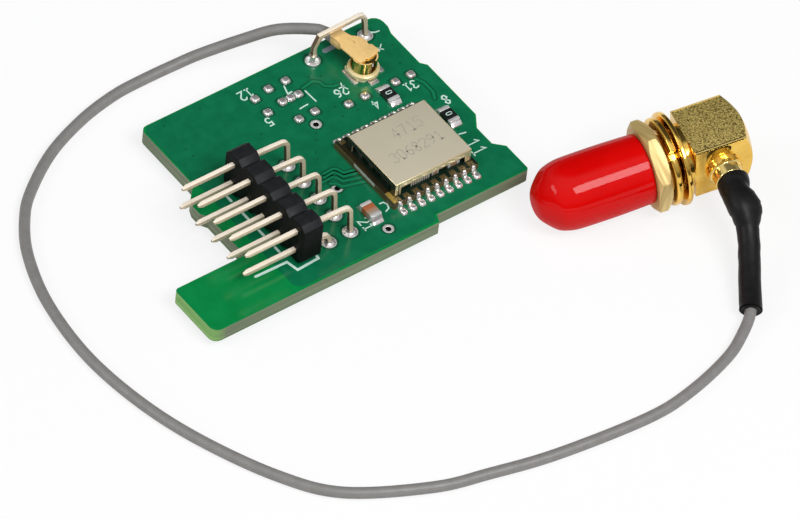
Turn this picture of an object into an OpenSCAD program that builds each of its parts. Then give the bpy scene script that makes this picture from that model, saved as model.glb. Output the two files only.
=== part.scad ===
// Satellite-positioning receiver daughter board with a right-angle antenna jack on a coax lead.
// Millimetres. The board lies level, component side up, with its solder tails on z = 0.
// X runs along the board's long edge, and the header's pins point towards -X.

/* [Board] */
// From the left edge to the header's lower row of holes
header_inset = 6.55; // [6:0.05:8]
// From the header's upper row of holes to the module
middle_l = 5.2; // [4.8:0.1:8]
// From the module to the right edge
right_l = 4.2; // [3.8:0.1:8]
// From the near edge to the module
near_w = 2.6; // [2.4:0.1:6]
// Width of the row of chip parts, from the module to the socket
parts_w = 5.3; // [5:0.1:8]
// From the socket's centre to the far edge
far_w = 5.4; // [5.2:0.1:8]
// Thickness over both solder masks
board_t = 1.6; // [1.2:0.1:2]
// Thickness of each solder mask
mask_t = 0.05; // [0.03:0.01:0.08]
// How far the tongue reaches past the main rectangle
tongue_l = 9.5; // [6:0.5:12]
// Width of the tongue
tongue_w = 6.5; // [6:0.1:7]
// How far the tongue stands past the near edge
tongue_drop = 0.95; // [0.5:0.05:1.2]
// Reach of the tab beside the header
tab_l = 1.7; // [1.3:0.1:2]
// Reach of the recessed edge between tab and tongue
recess_l = 1.2; // [0.6:0.1:1.2]
// Depth of the far notch in the right edge
far_notch_d = 0.5; // [0.3:0.1:0.8]
// Depth of the near notch in the right edge
near_notch_d = 1.0; // [0.5:0.1:1.2]
// Diameter of the plated holes for pins and wires
pin_hole_d = 1.0; // [0.95:0.01:1.1]
// Diameter of the open plated holes
open_hole_d = 0.65; // [0.5:0.05:0.8]
// Width of copper around a plated hole
ring_w = 0.28; // [0.2:0.02:0.34]

/* [Header] */
// Distance between neighbouring pins
pitch = 2.54;
// Pins in each row
columns = 5; // [3:1:5]
// Width of the square pins
pin_w = 0.46; // [0.44:0.01:0.66]
// Depth of the black body, along the pins
header_l = 2.25; // [2:0.05:2.7]
// Length of pin in front of the body
pin_reach = 6.05; // [4:0.05:6.5]
// Gap between the body and the board
header_gap = 0.15; // [0.05:0.05:0.3]
// Size of the bevels on the body's corners
header_bevel = 0.6; // [0.4:0.05:0.8]
// Outer radius of the bend in each pin
bend_r = 1.0; // [0.8:0.05:1.1]
// Length of the tails under the board
tail_h = 1.0; // [0.8:0.1:1.5]

/* [Receiver module] */
// Length of the module's own board
module_l = 10.1; // [9.9:0.1:10.4]
// Width of the module's own board
module_w = 9.7; // [9.5:0.1:9.9]
// Thickness of the module's own board
module_t = 0.8; // [0.6:0.1:1]
// Contacts along each long side
contacts = 9; // [6:1:9]
// Distance between contacts
contact_pitch = 1.1; // [1:0.01:1.1]
// Length of the shield can
can_l = 9.1; // [8.8:0.1:9.5]
// Width of the shield can
can_w = 7.7; // [7.4:0.1:7.9]
// Height of the shield can
can_h = 1.6; // [1.5:0.1:2]
// Sheet thickness of the shield can
can_wall = 0.2; // [0.12:0.02:0.24]
// Reach of each solder joint past the module's edge
joint_l = 1.05; // [0.6:0.05:1.2]

/* [Antenna socket] */
// Side of the cream base
socket_w = 2.6; // [2.4:0.1:2.8]
// Thickness of the cream base
socket_t = 0.4; // [0.3:0.05:0.5]
// Outer diameter of the ring contact
ring_d = 2.0; // [1.9:0.05:2.1]
// Turn of the plug on its socket, in degrees
plug_turn = 10; // [8:1:12]
// Top of the mated plug above the board
plug_h = 2.5; // [2.4:0.05:2.7]
// Length of the crimp past the head, to the plug's rear end
crimp_l = 4.0; // [3.9:0.05:4.1]

/* [Wire hoop] */
// Distance between the hoop's feet
hoop_span = 6.35; // [6:0.05:6.6]
// Top of the hoop above the board
hoop_h = 3.5; // [3.3:0.1:4.5]

/* [Antenna jack] */
// Width and height of the block
block_w = 6.0; // [5.6:0.1:6.4]
// Length of the block
block_l = 6.0; // [5.8:0.1:6.5]
// Outer diameter of the flange
flange_d = 9.4; // [9:0.1:9.4]
// Thickness of the flange
flange_t = 0.5; // [0.4:0.1:1.2]
// Outer diameter of the thread
thread_d = 6.2; // [6:0.05:6.3]
// Distance between thread crests
thread_pitch = 0.7; // [0.5:0.05:0.8]
// Depth of the thread
thread_h = 0.35; // [0.25:0.05:0.4]
// Length of the barrel in front of the flange
barrel_l = 9.6; // [9:0.1:10]
// Diameter of the barrel's bore
bore_d = 4.1; // [4:0.05:4.4]
// Nut across its flats
nut_w = 8.0; // [7.5:0.1:8.1]
// Thickness of the nut
nut_t = 1.5; // [1.2:0.1:1.8]
// Outer diameter of the lock washer
washer_d = 8.8; // [8:0.1:9]
// Thickness of the lock washer
washer_t = 1.2; // [0.6:0.1:1.3]
// Outer diameter of the cable ferrule
ferrule_d = 2.8; // [2.5:0.1:2.9]

/* [Cap] */
// Outer diameter of the cap at its widest
cap_d = 7.2; // [7.1:0.05:7.3]
// Radial clearance between the cap and the thread
cap_fit = 0.07; // [0.05:0.01:0.1]
// Length of the cap
cap_l = 11.4; // [11.1:0.1:12.5]

/* [Cable] */
// Diameter of the coax
cable_d = 1.13; // [1:0.01:1.2]
// Diameter of the sleeve over the ferrule
sleeve_d = 3.3; // [3.1:0.1:3.6]
// Diameter of the sleeve where it has shrunk on the cable
sleeve_end_d = 2.3; // [2.1:0.1:2.5]

/* [Hidden] */
$fn = 48;
board_z = tail_h;
top_z = tail_h + board_t;
board_l = header_inset + pitch + middle_l + module_l + right_l;
board_w = near_w + module_w + parts_w + socket_w / 2 + far_w;
left_x = (tongue_l - board_l) / 2;
right_x = left_x + board_l;
tongue_x = left_x - tongue_l;
near_y = -(board_w - tongue_drop) / 2;
far_y = near_y + board_w;
tongue_near_y = near_y - tongue_drop;
tongue_far_y = tongue_near_y + tongue_w;
tongue_end_x = right_x - right_l - module_l + 2.8;

// Header: the lower row's holes, with the upper row's one pitch behind
row_x = left_x + header_inset;
last_pin_y = near_y + 2.63;
first_pin_y = last_pin_y + (columns - 1) * pitch;
body_back_x = row_x - 1.96;
body_front_x = body_back_x - header_l;
tip_x = body_front_x - pin_reach;
low_pin_z = top_z + header_gap + pitch / 2;
high_pin_z = low_pin_z + pitch;
tip_l = 0.5;
tip_w = pin_w / 2;

// Module
module_x = right_x - right_l - module_l / 2;
module_y = near_y + near_w + module_w / 2;
module_z = top_z;
module_left_x = module_x - module_l / 2;
module_right_x = module_x + module_l / 2;
module_near_y = module_y - module_w / 2;
module_far_y = module_y + module_w / 2;
module_top_z = module_z + module_t;
contact_w = 0.66;
contact_t = 0.03;
notch_r = 0.27;
window_h = 0.85;

// Socket, plug and hoop, placed from the far right corner
socket_x = right_x - 5.9;
socket_y = far_y - far_w;
socket_z = top_z;
plug_z = top_z + plug_h;
plate_t = 0.25;
skirt_gap = 0.05;
skirt_d = 2.75;
cable_axis_z = top_z + 1.5;
hoop_x = socket_x - 3.25;
hoop_y = far_y - 1.6;

// Loose parts on the board: centres in X and Y
open_holes = [
    [module_left_x + 0.4, module_far_y + 3.4], [module_left_x - 2.85, module_y + 0.4],
    [module_left_x - 1.85, near_y + 0.98]
];
pad_dome_r = 0.42;
empty_pads = [
    [module_left_x + 1.3, far_y - 2.4], [module_left_x - 0.75, far_y - 2.4],
    [module_left_x - 2.65, far_y - 2.8], [module_left_x - 2.65, far_y - 4.9],
    [module_left_x - 0.6, far_y - 4.5], [module_left_x + 0.35, far_y - 4.5], [module_left_x + 1.3, far_y - 4.5],
    [module_left_x - 0.6, far_y - 7.2], [module_left_x + 1.3, far_y - 7.2],
    [module_right_x - 5.45, module_far_y + 3.85], [module_right_x - 3.45, module_far_y + 3.85],
    [module_right_x + 0.15, module_far_y + 3.8], [module_right_x + 2.0, module_far_y + 3.8]
];
can_x = module_x + 0.09;
can_y = module_y - 0.24;
can_near_y = can_y - can_w / 2;
can_chip_w = 2.5;
can_chip = [module_x - 2.45, can_near_y + 0.45];
lead_l = 0.16;
lead_w = 0.13;
lead_pitch = 0.26;
// Parts under the can: the near left corner, then length, width and height
can_parts = [
    [module_x + 0.25, can_near_y + 0.33, 0.8, 0.6, 0.45], [module_x + 2.15, can_near_y + 0.3, 1.4, 0.8, 0.5],
    [module_x + 1.6, module_y - 1.2, 2.0, 1.6, 0.7], [module_x - 3.9, module_y + 1.9, 2.5, 1.2, 0.7],
    [module_x + 0.2, module_y + 2.0, 1.1, 0.6, 0.5], [module_x + 2.2, module_y + 1.7, 0.6, 1.1, 0.5],
    [module_x - 3.9, module_y - 2.3, 0.6, 1.1, 0.45], [module_x - 3.9, module_y + 0.3, 0.6, 0.6, 0.4]
];
chip_l = 2.0;
chip_w = 1.25;
chip_h = 0.5;
capacitor_h = 0.85;
terminal_l = 0.4;
resistors = [[module_right_x - 1.55, module_far_y + parts_w / 2], [module_right_x + 1.7, module_y + 2.15]];
capacitor = [module_left_x - 2.25, module_near_y + 0.8];

// Jack: the flange's front face is the local origin, and local +X runs from the barrel to the block
jack_at = [29.85, -19.5, 4.875];
jack_pitch = 6.5;
jack_yaw = -13.5;
neck_l = 0.95;
neck_d = 6.4;
block_x = flange_t + neck_l;
exit_x = block_x + block_l / 2 - 0.2;
ferrule_l = 4.4;
ferrule_bore = cable_d + 0.14;
boss_d = 3.7;
boss_l = 0.75;
block_lip = 0.15;
fastener_gap = 0.05;
mouth_d = 4.7;
mouth_l = 0.5;
contact_d = 1.27;
contact_bore = 0.94;

// The cable's route between its plug and its sleeve: one open loop that lies on the surface at lay_z
lay_z = 0.57;
free_route = [
    [12, 13, 4], [9, 15.5, 3.5], [6, 17, 2.5], [2, 18.5, 1.3], [-0.5, 19, 0.8], [-4.5, 19.2, lay_z], [-8, 19, lay_z],
    [-12.5, 18, lay_z], [-17.5, 16, lay_z], [-22, 13, lay_z], [-24.5, 10.5, lay_z], [-27, 6.5, lay_z],
    [-29, 0.5, lay_z], [-29.8, -7, lay_z], [-29, -14.5, lay_z], [-27, -21.5, lay_z], [-23.5, -29, lay_z],
    [-19.5, -34, lay_z], [-12, -38, lay_z], [-6.5, -39.5, lay_z], [0.5, -41, lay_z], [10.5, -42, lay_z],
    [16, -41.5, lay_z], [21.5, -40, 0.6], [24.5, -38.5, 0.8]
];
sleeve_route = [[26.75, -36.85, 1.2], [28.45, -34.45, 1.8], [29.9, -32.15, 2.7], [30.8, -30.2, 3.8]];

function jack_point(p) =
    let (x = p[0] * cos(jack_pitch) - p[2] * sin(jack_pitch), z = p[0] * sin(jack_pitch) + p[2] * cos(jack_pitch))
    jack_at + [x * cos(jack_yaw) - p[1] * sin(jack_yaw), x * sin(jack_yaw) + p[1] * cos(jack_yaw), z];
function exit_point(d) = jack_point([exit_x, -block_w / 2 - d, 0]);
function plug_point(d) = [socket_x - d * sin(plug_turn), socket_y + d * cos(plug_turn), cable_axis_z];

route = concat([plug_point(crimp_l + 0.6)], free_route, sleeve_route,
               [exit_point(ferrule_l + 0.5), exit_point(ferrule_l - 2)]);
route_end = len(route) - 1;
sleeve_first = len(free_route) + 1;
sleeve_gap = 1.9;

// A smooth curve through a list of points
function curve_point(p, i, t) =
    let (a = p[max(i - 1, 0)], b = p[i], c = p[i + 1], d = p[min(i + 2, len(p) - 1)])
    0.5 * (2 * b + (c - a) * t + (2 * a - 5 * b + 4 * c - d) * t * t + (3 * b - a - 3 * c + d) * t * t * t);
function curve(p, first, last, step) = concat(
    [for (i = [first : last - 1])
        let (steps = max(1, round(norm(p[i + 1] - p[i]) / step)))
        for (s = [0 : steps - 1]) curve_point(p, i, s / steps)],
    [p[last]]);

// Rings of points square to a path
function unit(v) = v / norm(v);
function heading(p, i) = unit(p[min(i + 1, len(p) - 1)] - p[max(i - 1, 0)]);
function ring(p, i, r, sides) =
    let (t = heading(p, i), side = unit(cross(t, [0, 0, 1])), up = cross(side, t))
    [for (k = [0 : sides - 1]) p[i] + r * (cos(k * 360 / sides) * side + sin(k * 360 / sides) * up)];
function skin(rows, sides, base, flip) = [for (i = [0 : rows - 2], k = [0 : sides - 1])
    let (a = base + i * sides + k, b = base + i * sides + (k + 1) % sides, c = b + sides, d = a + sides)
    flip ? [d, c, b, a] : [a, b, c, d]];
function disc(sides, base, flip) = flip
    ? [[for (k = [sides - 1 : -1 : 0]) base + k]]
    : [[for (k = [0 : sides - 1]) base + k]];
function band(sides, outer, inner, flip) = [for (k = [0 : sides - 1])
    let (a = outer + k, b = outer + (k + 1) % sides, c = inner + (k + 1) % sides, d = inner + k)
    flip ? [a, d, c, b] : [a, b, c, d]];

// Points of a round corner, from one angle to another
function corner(x, y, r, a0, a1) = [for (s = [0 : 4]) [x + r * cos(a0 + (a1 - a0) * s / 4), y + r * sin(a0 + (a1 - a0) * s / 4)]];

// Board

module board_outline() {
    far_r = 0.7;
    near_r = 0.9;
    notch_run = 0.6;
    corner_in = 0.2;
    polygon(concat(
        corner(tongue_x + near_r, tongue_near_y + near_r, near_r, 180, 270),
        [[tongue_end_x, tongue_near_y], [tongue_end_x + 0.4, near_y]],
        corner(right_x - 0.3, near_y + 0.3, 0.3, 270, 360),
        [[right_x, near_y + 3.6], [right_x - near_notch_d, near_y + 3.6 + near_notch_d],
         [right_x - near_notch_d, near_y + 7.6 - notch_run], [right_x, near_y + 8.5]],
        [[right_x, far_y - 8.0], [right_x - far_notch_d, far_y - 8.0 + notch_run],
         [right_x - far_notch_d, far_y - 2.75], [right_x - corner_in, far_y - 1.85]],
        corner(right_x - corner_in - 1.1, far_y - 1.1, 1.1, 0, 90),
        corner(left_x + far_r, far_y - far_r, far_r, 90, 180),
        [[left_x, far_y - 8.7], [left_x - tab_l * 0.8, far_y - 10.1], [left_x - tab_l, far_y - 10.9],
         [left_x - tab_l, far_y - 12.1], [left_x - recess_l, far_y - 12.9], [left_x - recess_l, tongue_far_y]],
        corner(tongue_x + 0.4, tongue_far_y - 0.4, 0.4, 90, 180)));
}

module header_places(row) {
    for (i = [0 : columns - 1])
        translate([row_x + row * pitch, last_pin_y + i * pitch, 0]) children();
}

module hoop_places() {
    for (s = [0, 1])
        translate([hoop_x + s * hoop_span, hoop_y, 0]) children();
}

module hole_shape(grow) {
    for (row = [0, 1])
        header_places(row) circle(d = pin_hole_d + 2 * grow);
    hoop_places() circle(d = pin_hole_d + 2 * grow);
    for (p = open_holes)
        translate(p) circle(d = open_hole_d + 2 * grow);
}

module board_slab(z, t, grow) {
    translate([0, 0, z]) linear_extrude(t) difference() {
        board_outline();
        hole_shape(grow);
    }
}

module pcb_core() {
    color("darkolivegreen") board_slab(board_z + mask_t, board_t - 2 * mask_t, 0);
}

module mask_top() {
    color("seagreen") board_slab(top_z - mask_t, mask_t, ring_w);
}

module mask_bottom() {
    color("seagreen") board_slab(board_z, mask_t, ring_w);
}

module hole_rings() {
    color("silver") for (z = [board_z, top_z - mask_t])
        translate([0, 0, z]) linear_extrude(mask_t) difference() {
            hole_shape(ring_w);
            hole_shape(0);
        }
}

// Header

module header_body() {
    z0 = top_z + header_gap;
    h = 2 * pitch;
    b = header_bevel;
    color([0.07, 0.07, 0.08]) difference() {
        for (i = [0 : columns - 1])
            translate([body_front_x, last_pin_y + i * pitch, z0]) rotate([90, 0, 90]) linear_extrude(header_l)
                polygon([[-pitch / 2, b], [-pitch / 2 + b, 0], [pitch / 2 - b, 0], [pitch / 2, b],
                         [pitch / 2, h - b], [pitch / 2 - b, h], [-pitch / 2 + b, h], [-pitch / 2, h - b]]);
        for (i = [0 : columns - 1], z = [low_pin_z, high_pin_z])
            translate([body_front_x - 1, last_pin_y + i * pitch - pin_w / 2, z - pin_w / 2])
                cube([header_l + 2, pin_w, pin_w]);
    }
}

// One bent pin: its side view and its plan, crossed. Behind the body it droops, and its leg leans to the body
module bent_pin(x, z) {
    h = pin_w / 2;
    inner_r = bend_r - pin_w;
    rise = z - top_z;
    bend_x = x + h - bend_r - 0.075 * rise;
    bend_z = z + h - bend_r - 0.05 * rise;
    side_view = concat(
        [[tip_x, z - tip_w / 2], [tip_x, z + tip_w / 2], [tip_x + tip_l, z + h], [body_back_x, z + h]],
        corner(bend_x, bend_z, bend_r, 90, 0),
        [[x + h, top_z], [x + h, 0.3], [x + h / 2, 0], [x - h / 2, 0], [x - h, 0.3], [x - h, top_z]],
        corner(bend_x, bend_z, inner_r, 0, 90),
        [[body_back_x, z - h], [tip_x + tip_l, z - h]]);
    intersection() {
        translate([0, h + 1, 0]) rotate([90, 0, 0]) linear_extrude(pin_w + 2) polygon(side_view);
        linear_extrude(z + 2) polygon([[tip_x, -tip_w / 2], [tip_x, tip_w / 2], [tip_x + tip_l, h],
                                       [x + 2, h], [x + 2, -h], [tip_x + tip_l, -h]]);
    }
}

module upper_pins() {
    color("wheat") for (i = [0 : columns - 1])
        translate([0, last_pin_y + i * pitch, 0]) bent_pin(row_x + pitch, high_pin_z);
}

module lower_pins() {
    color("wheat") for (i = [0 : columns - 1])
        translate([0, last_pin_y + i * pitch, 0]) bent_pin(row_x, low_pin_z);
}

// Solder cone under the board around a square wire
module tail_solder() {
    cone_h = board_z - 0.25;
    difference() {
        translate([0, 0, 0.25]) cylinder(h = cone_h, r1 = 0.5, r2 = pin_hole_d / 2 + ring_w - 0.03);
        translate([-pin_w / 2, -pin_w / 2, -1]) cube([pin_w, pin_w, board_z + 2]);
    }
}

module header_solder() {
    color("gainsboro") for (row = [0, 1])
        header_places(row) tail_solder();
}

// Hoop over the plug

// A bent wire whose right leg leans towards its left one
module cable_hoop() {
    w = pin_w;
    lean = 0.38;
    x0 = hoop_x - w / 2;
    x1 = hoop_x + hoop_span + w / 2;
    z1 = top_z + hoop_h;
    color("wheat") translate([0, hoop_y + w / 2, 0]) rotate([90, 0, 0]) linear_extrude(w)
        polygon([[x0, 0], [x0, z1 - 1.55], [x0 + 0.6, z1 - 0.2], [x1 - 1.3, z1], [x1 - 0.75, z1 - 0.15],
                 [x1 - lean, z1 - 0.8], [x1, top_z], [x1, 0], [x1 - w, 0], [x1 - w, top_z],
                 [x1 - w - lean, z1 - 0.95], [x1 - w - lean - 0.14, z1 - 0.62], [x1 - 1.35, z1 - w],
                 [x0 + 1.05, z1 - w - 0.2], [x0 + w, z1 - 1.65], [x0 + w, 0]]);
}

module hoop_solder() {
    color("gainsboro") {
        hoop_places() tail_solder();
        translate([hoop_x, hoop_y, top_z]) difference() {
            cylinder(h = 0.7, r1 = pin_hole_d / 2 + ring_w, r2 = 0.48);
            translate([-pin_w / 2, -pin_w / 2, -1]) cube([pin_w, pin_w, 3]);
        }
    }
}

// Antenna socket on the board

module socket_base() {
    b = 0.45;
    h = socket_w / 2;
    color("cornsilk") translate([socket_x, socket_y, socket_z]) linear_extrude(socket_t)
        polygon([[-h + b, -h], [h - b, -h], [h, -h + b], [h, h], [-h, h], [-h, -h + b]]);
}

module socket_contacts() {
    pin_r = 0.25;
    color("gold") translate([socket_x, socket_y, socket_z + socket_t]) {
        difference() {
            cylinder(h = 0.9, d = ring_d);
            translate([0, 0, -1]) cylinder(h = 3, d = ring_d - 0.4);
        }
        cylinder(h = 0.75, r = pin_r);
    }
}

module socket_solder() {
    color("gainsboro") translate([socket_x, socket_y, top_z]) {
        for (s = [0, 1])
            mirror([s, 0, 0]) translate([socket_w / 2, -1.1, 0]) cube([0.5, 2.2, 0.22]);
        translate([-0.5, -socket_w / 2 - 0.75, 0]) cube([1.0, 0.75, 0.22]);
    }
}

// Plug on the cable, drawn along its own +Y and turned with it

module plug_frame() {
    translate([socket_x, socket_y, 0]) rotate([0, 0, plug_turn]) children();
}

module plug_shell() {
    skirt_z = socket_z + socket_t + skirt_gap;
    plate_z = plug_z - plate_t;
    crimp_w = 1.5;
    crimp_from = crimp_l - 1.45;
    color("goldenrod") plug_frame() {
        difference() {
            union() {
                translate([0, 0, skirt_z]) cylinder(h = plate_z - skirt_z, d = skirt_d);
                translate([-0.75, 0.9, cable_axis_z - 0.75]) cube([1.5, crimp_from - 0.9, plate_z - cable_axis_z + 0.75]);
            }
            translate([0, 0, skirt_z - 1]) cylinder(h = plate_z - skirt_z + 1, d = ring_d + 0.2);
            translate([-0.55, 0, cable_axis_z - 0.55]) cube([1.1, crimp_from - 0.2, plate_z - cable_axis_z + 0.55]);
        }
        translate([0, 0, plate_z]) linear_extrude(plate_t)
            polygon([[-1.35, -0.55], [-0.4, -0.95], [0.4, -0.95], [1.35, -0.55], [1.35, 0.55], [1.0, 0.8],
                     [1.0, 1.9], [0.7, crimp_from + 0.3], [-0.7, crimp_from + 0.3], [-1.0, 1.9], [-1.0, 0.8],
                     [-1.35, 0.55]]);
        translate([-crimp_w / 2, crimp_from - 0.2, cable_axis_z - crimp_w / 2])
            cube([crimp_w, crimp_l - crimp_from + 0.2, crimp_w]);
    }
}

module plug_insulator() {
    skirt_z = socket_z + socket_t + skirt_gap;
    color("ivory") plug_frame()
        translate([0, 0, skirt_z + 0.95]) cylinder(h = plug_z - plate_t - skirt_z - 0.95, d = ring_d + 0.1);
}

// Receiver module

module contact_places() {
    for (side = [-1, 1], i = [0 : contacts - 1])
        translate([module_x + (i - (contacts - 1) / 2) * contact_pitch, module_y + side * module_w / 2, 0])
            rotate([0, 0, side < 0 ? 0 : 180]) children();
}

module module_board() {
    color("darkgreen") difference() {
        translate([module_x - module_l / 2, module_y - module_w / 2, module_z]) cube([module_l, module_w, module_t]);
        contact_places() translate([0, 0, module_z - 1]) cylinder(h = module_t + 2, r = notch_r);
    }
}

// Gold pads around the half holes on the module's edge
module module_contacts() {
    color("gold") contact_places() translate([0, 0, module_top_z]) linear_extrude(contact_t) difference() {
        translate([-contact_w / 2, 0]) square([contact_w, 0.7]);
        circle(r = notch_r);
    }
}

// Each joint fills its half hole's foot and slopes out over its pad
module module_solder() {
    color("gainsboro") contact_places() rotate([90, 0, -90]) translate([0, 0, -contact_w / 2])
        linear_extrude(contact_w)
            polygon([[0, top_z], [0, module_top_z - 0.1], [0.22, module_top_z - 0.3],
                     [0.45, top_z + 0.22], [joint_l - 0.1, top_z + 0.16], [joint_l, top_z]]);
}

module shield_can() {
    z0 = module_top_z + contact_t;
    w = can_wall;
    x0 = can_x - can_l / 2;
    y0 = can_near_y;
    post = 0.75;
    color("tan") translate([x0, y0, z0]) difference() {
        cube([can_l, can_w, can_h]);
        translate([w, w, -1]) cube([can_l - 2 * w, can_w - 2 * w, can_h + 1 - w]);
        translate([post, -1, -1]) cube([can_l - 2 * post, can_w + 2, window_h + 1]);
        translate([-1, post, -1]) cube([can_l + 2, can_w - 2 * post, window_h + 1]);
    }
}

module receiver_chip() {
    color([0.08, 0.08, 0.09]) translate([can_chip[0], can_chip[1], module_top_z + 0.1])
        cube([can_chip_w, can_chip_w, 0.75]);
}

module chip_leads() {
    first = (can_chip_w - 8 * lead_pitch - lead_w) / 2;
    color("gold") for (side = [0, 1], i = [0 : 8])
        translate([can_chip[0] + first + i * lead_pitch, can_chip[1] + (side == 0 ? -lead_l : can_chip_w), module_top_z])
            cube([lead_w, lead_l, 0.5]);
}

module module_parts() {
    color("dimgray") for (p = can_parts)
        translate([p[0], p[1], module_top_z]) cube([p[2], p[3], p[4]]);
}

// Chip resistors and the chip capacitor, each lying along Y

module chip_body(h) {
    translate([-chip_w / 2, -chip_l / 2 + terminal_l, top_z + 0.05]) cube([chip_w, chip_l - 2 * terminal_l, h]);
}

module chip_ends(h) {
    for (s = [0, 1])
        mirror([0, s, 0]) translate([-chip_w / 2, -chip_l / 2, top_z + 0.05]) cube([chip_w, terminal_l, h]);
}

module end_solder(h) {
    for (s = [0, 1])
        mirror([0, s, 0]) translate([-chip_w / 2, -chip_l / 2, 0]) rotate([90, 0, 90]) linear_extrude(chip_w)
            polygon([[0, top_z], [0, top_z + h * 0.8], [-0.2, top_z + 0.3], [-0.45, top_z + 0.1], [-0.5, top_z]]);
}

module resistor_bodies() {
    color([0.1, 0.1, 0.1]) for (p = resistors)
        translate([p[0], p[1], 0]) chip_body(chip_h);
}

module capacitor_body() {
    color("sienna") translate([capacitor[0], capacitor[1], 0]) chip_body(capacitor_h);
}

module chip_terminals() {
    color("silver") {
        for (p = resistors)
            translate([p[0], p[1], 0]) chip_ends(chip_h);
        translate([capacitor[0], capacitor[1], 0]) chip_ends(capacitor_h);
    }
}

module terminal_solder() {
    color("gainsboro") {
        for (p = resistors)
            translate([p[0], p[1], 0]) end_solder(chip_h);
        translate([capacitor[0], capacitor[1], 0]) end_solder(capacitor_h);
    }
}

// Domes of solder on the pads that carry no part
module pad_solder() {
    dome_h = 0.28;
    ball_r = (pad_dome_r * pad_dome_r + dome_h * dome_h) / (2 * dome_h);
    color("gainsboro") for (p = empty_pads)
        translate([p[0], p[1], top_z]) intersection() {
            translate([0, 0, dome_h - ball_r]) sphere(r = ball_r);
            translate([-1, -1, 0]) cube([2, 2, 1]);
        }
}

// Antenna jack

module jack_frame() {
    translate(jack_at) rotate([0, -jack_pitch, jack_yaw]) children();
}

// A profile of [along, radius] points turned about local X
module turned(profile) {
    rotate([0, 90, 0]) rotate_extrude() polygon([for (p = profile) [p[1], p[0]]]);
}

module jack_block() {
    chamfer_r = 2.9;
    corner_r = block_w / sqrt(2);
    back_x = block_x + block_l;
    color("goldenrod") jack_frame() {
        difference() {
            intersection() {
                translate([block_x, -block_w / 2, -block_w / 2]) cube([block_l, block_w + block_lip, block_w]);
                turned([[block_x - 1, 0], [block_x - 1, corner_r + 0.1], [back_x - 0.8, corner_r + 0.1],
                        [back_x, chamfer_r], [back_x, 0]]);
            }
            translate([block_x - 1, 0, 0]) rotate([0, 90, 0]) cylinder(h = block_l - 0.8, d = bore_d);
        }
        translate([exit_x, -block_w / 2, 0]) rotate([90, 0, 0]) difference() {
            cylinder(h = boss_l, d = boss_d);
            translate([0, 0, -1]) cylinder(h = boss_l + 2, d = ferrule_d);
        }
    }
}

module jack_barrel() {
    r = thread_d / 2;
    threads = floor((barrel_l - 1.4) / thread_pitch);
    first_x = -0.9;
    crests = [for (i = [0 : threads - 1], s = [0 : 3])
        [first_x - (i + [0, 0.35, 0.5, 0.85][s]) * thread_pitch, r - (s == 0 || s == 3 ? thread_h : 0)]];
    color("gold") jack_frame() difference() {
        turned(concat([[block_x, 0], [block_x, neck_d / 2], [flange_t, neck_d / 2], [flange_t, flange_d / 2 - 0.15],
                       [flange_t - 0.15, flange_d / 2], [0.15, flange_d / 2], [0, flange_d / 2 - 0.15],
                       [0, r - thread_h]], crests, [[-barrel_l, r - thread_h - 0.1], [-barrel_l, 0]]));
        translate([-barrel_l - 1, 0, 0]) rotate([0, 90, 0]) cylinder(h = barrel_l + block_x + 2, d = bore_d);
        translate([-barrel_l - 1, 0, 0]) rotate([0, 90, 0]) cylinder(h = mouth_l + 1, d = mouth_d);
    }
}

module jack_insulator() {
    color("white") jack_frame() difference() {
        translate([mouth_l - barrel_l, 0, 0]) rotate([0, 90, 0])
            cylinder(h = barrel_l - mouth_l + block_x + block_l - 1.9, d = bore_d - 0.02);
        translate([mouth_l - barrel_l - 1, 0, 0]) rotate([0, 90, 0])
            cylinder(h = barrel_l + block_x + block_l, d = contact_d + 0.02);
    }
}

module jack_contact() {
    slit = 0.2;
    color("gold") jack_frame() translate([mouth_l - barrel_l, 0, 0]) difference() {
        rotate([0, 90, 0]) cylinder(h = barrel_l + block_x + 2, d = contact_d);
        translate([-1, 0, 0]) rotate([0, 90, 0]) cylinder(h = 4, d = contact_bore);
        translate([-1, -slit / 2, -contact_d]) cube([3, slit, 2 * contact_d]);
    }
}

// A split ring that has been pressed flat
module lock_washer() {
    gap = 0.8;
    color("goldenrod") jack_frame() translate([-washer_t - fastener_gap, 0, 0]) rotate([35, 0, 0]) difference() {
        turned([[0, thread_d / 2 + fastener_gap], [0, washer_d / 2 - 0.15], [0.15, washer_d / 2],
                [washer_t - 0.15, washer_d / 2], [washer_t, washer_d / 2 - 0.15], [washer_t, thread_d / 2 + fastener_gap]]);
        translate([-1, 0, -gap / 2]) cube([washer_t + 2, washer_d, gap]);
    }
}

module hex_nut() {
    nut_turn = 8;
    nut_back = -washer_t - 2 * fastener_gap;
    corner_r = nut_w / sqrt(3);
    color("darkgoldenrod") jack_frame() difference() {
        intersection() {
            translate([nut_back - nut_t, 0, 0]) rotate([nut_turn, 0, 0]) rotate([0, 90, 0])
                cylinder(h = nut_t, r = corner_r, $fn = 6);
            turned([[nut_back - nut_t, 0], [nut_back - nut_t, nut_w / 2 + 0.1], [nut_back - nut_t + 0.3, corner_r + 0.01],
                    [nut_back - 0.45, corner_r + 0.01], [nut_back, nut_w / 2 - 0.05], [nut_back, 0]]);
        }
        translate([nut_back - nut_t - 1, 0, 0]) rotate([0, 90, 0]) cylinder(h = nut_t + 2, d = thread_d + 2 * fastener_gap);
    }
}

module ferrule() {
    color("gold") jack_frame() translate([exit_x, -block_w / 2, 0]) rotate([90, 0, 0]) difference() {
        cylinder(h = ferrule_l, d = ferrule_d);
        translate([0, 0, -1]) cylinder(h = ferrule_l + 2, d = ferrule_bore);
    }
}

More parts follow.
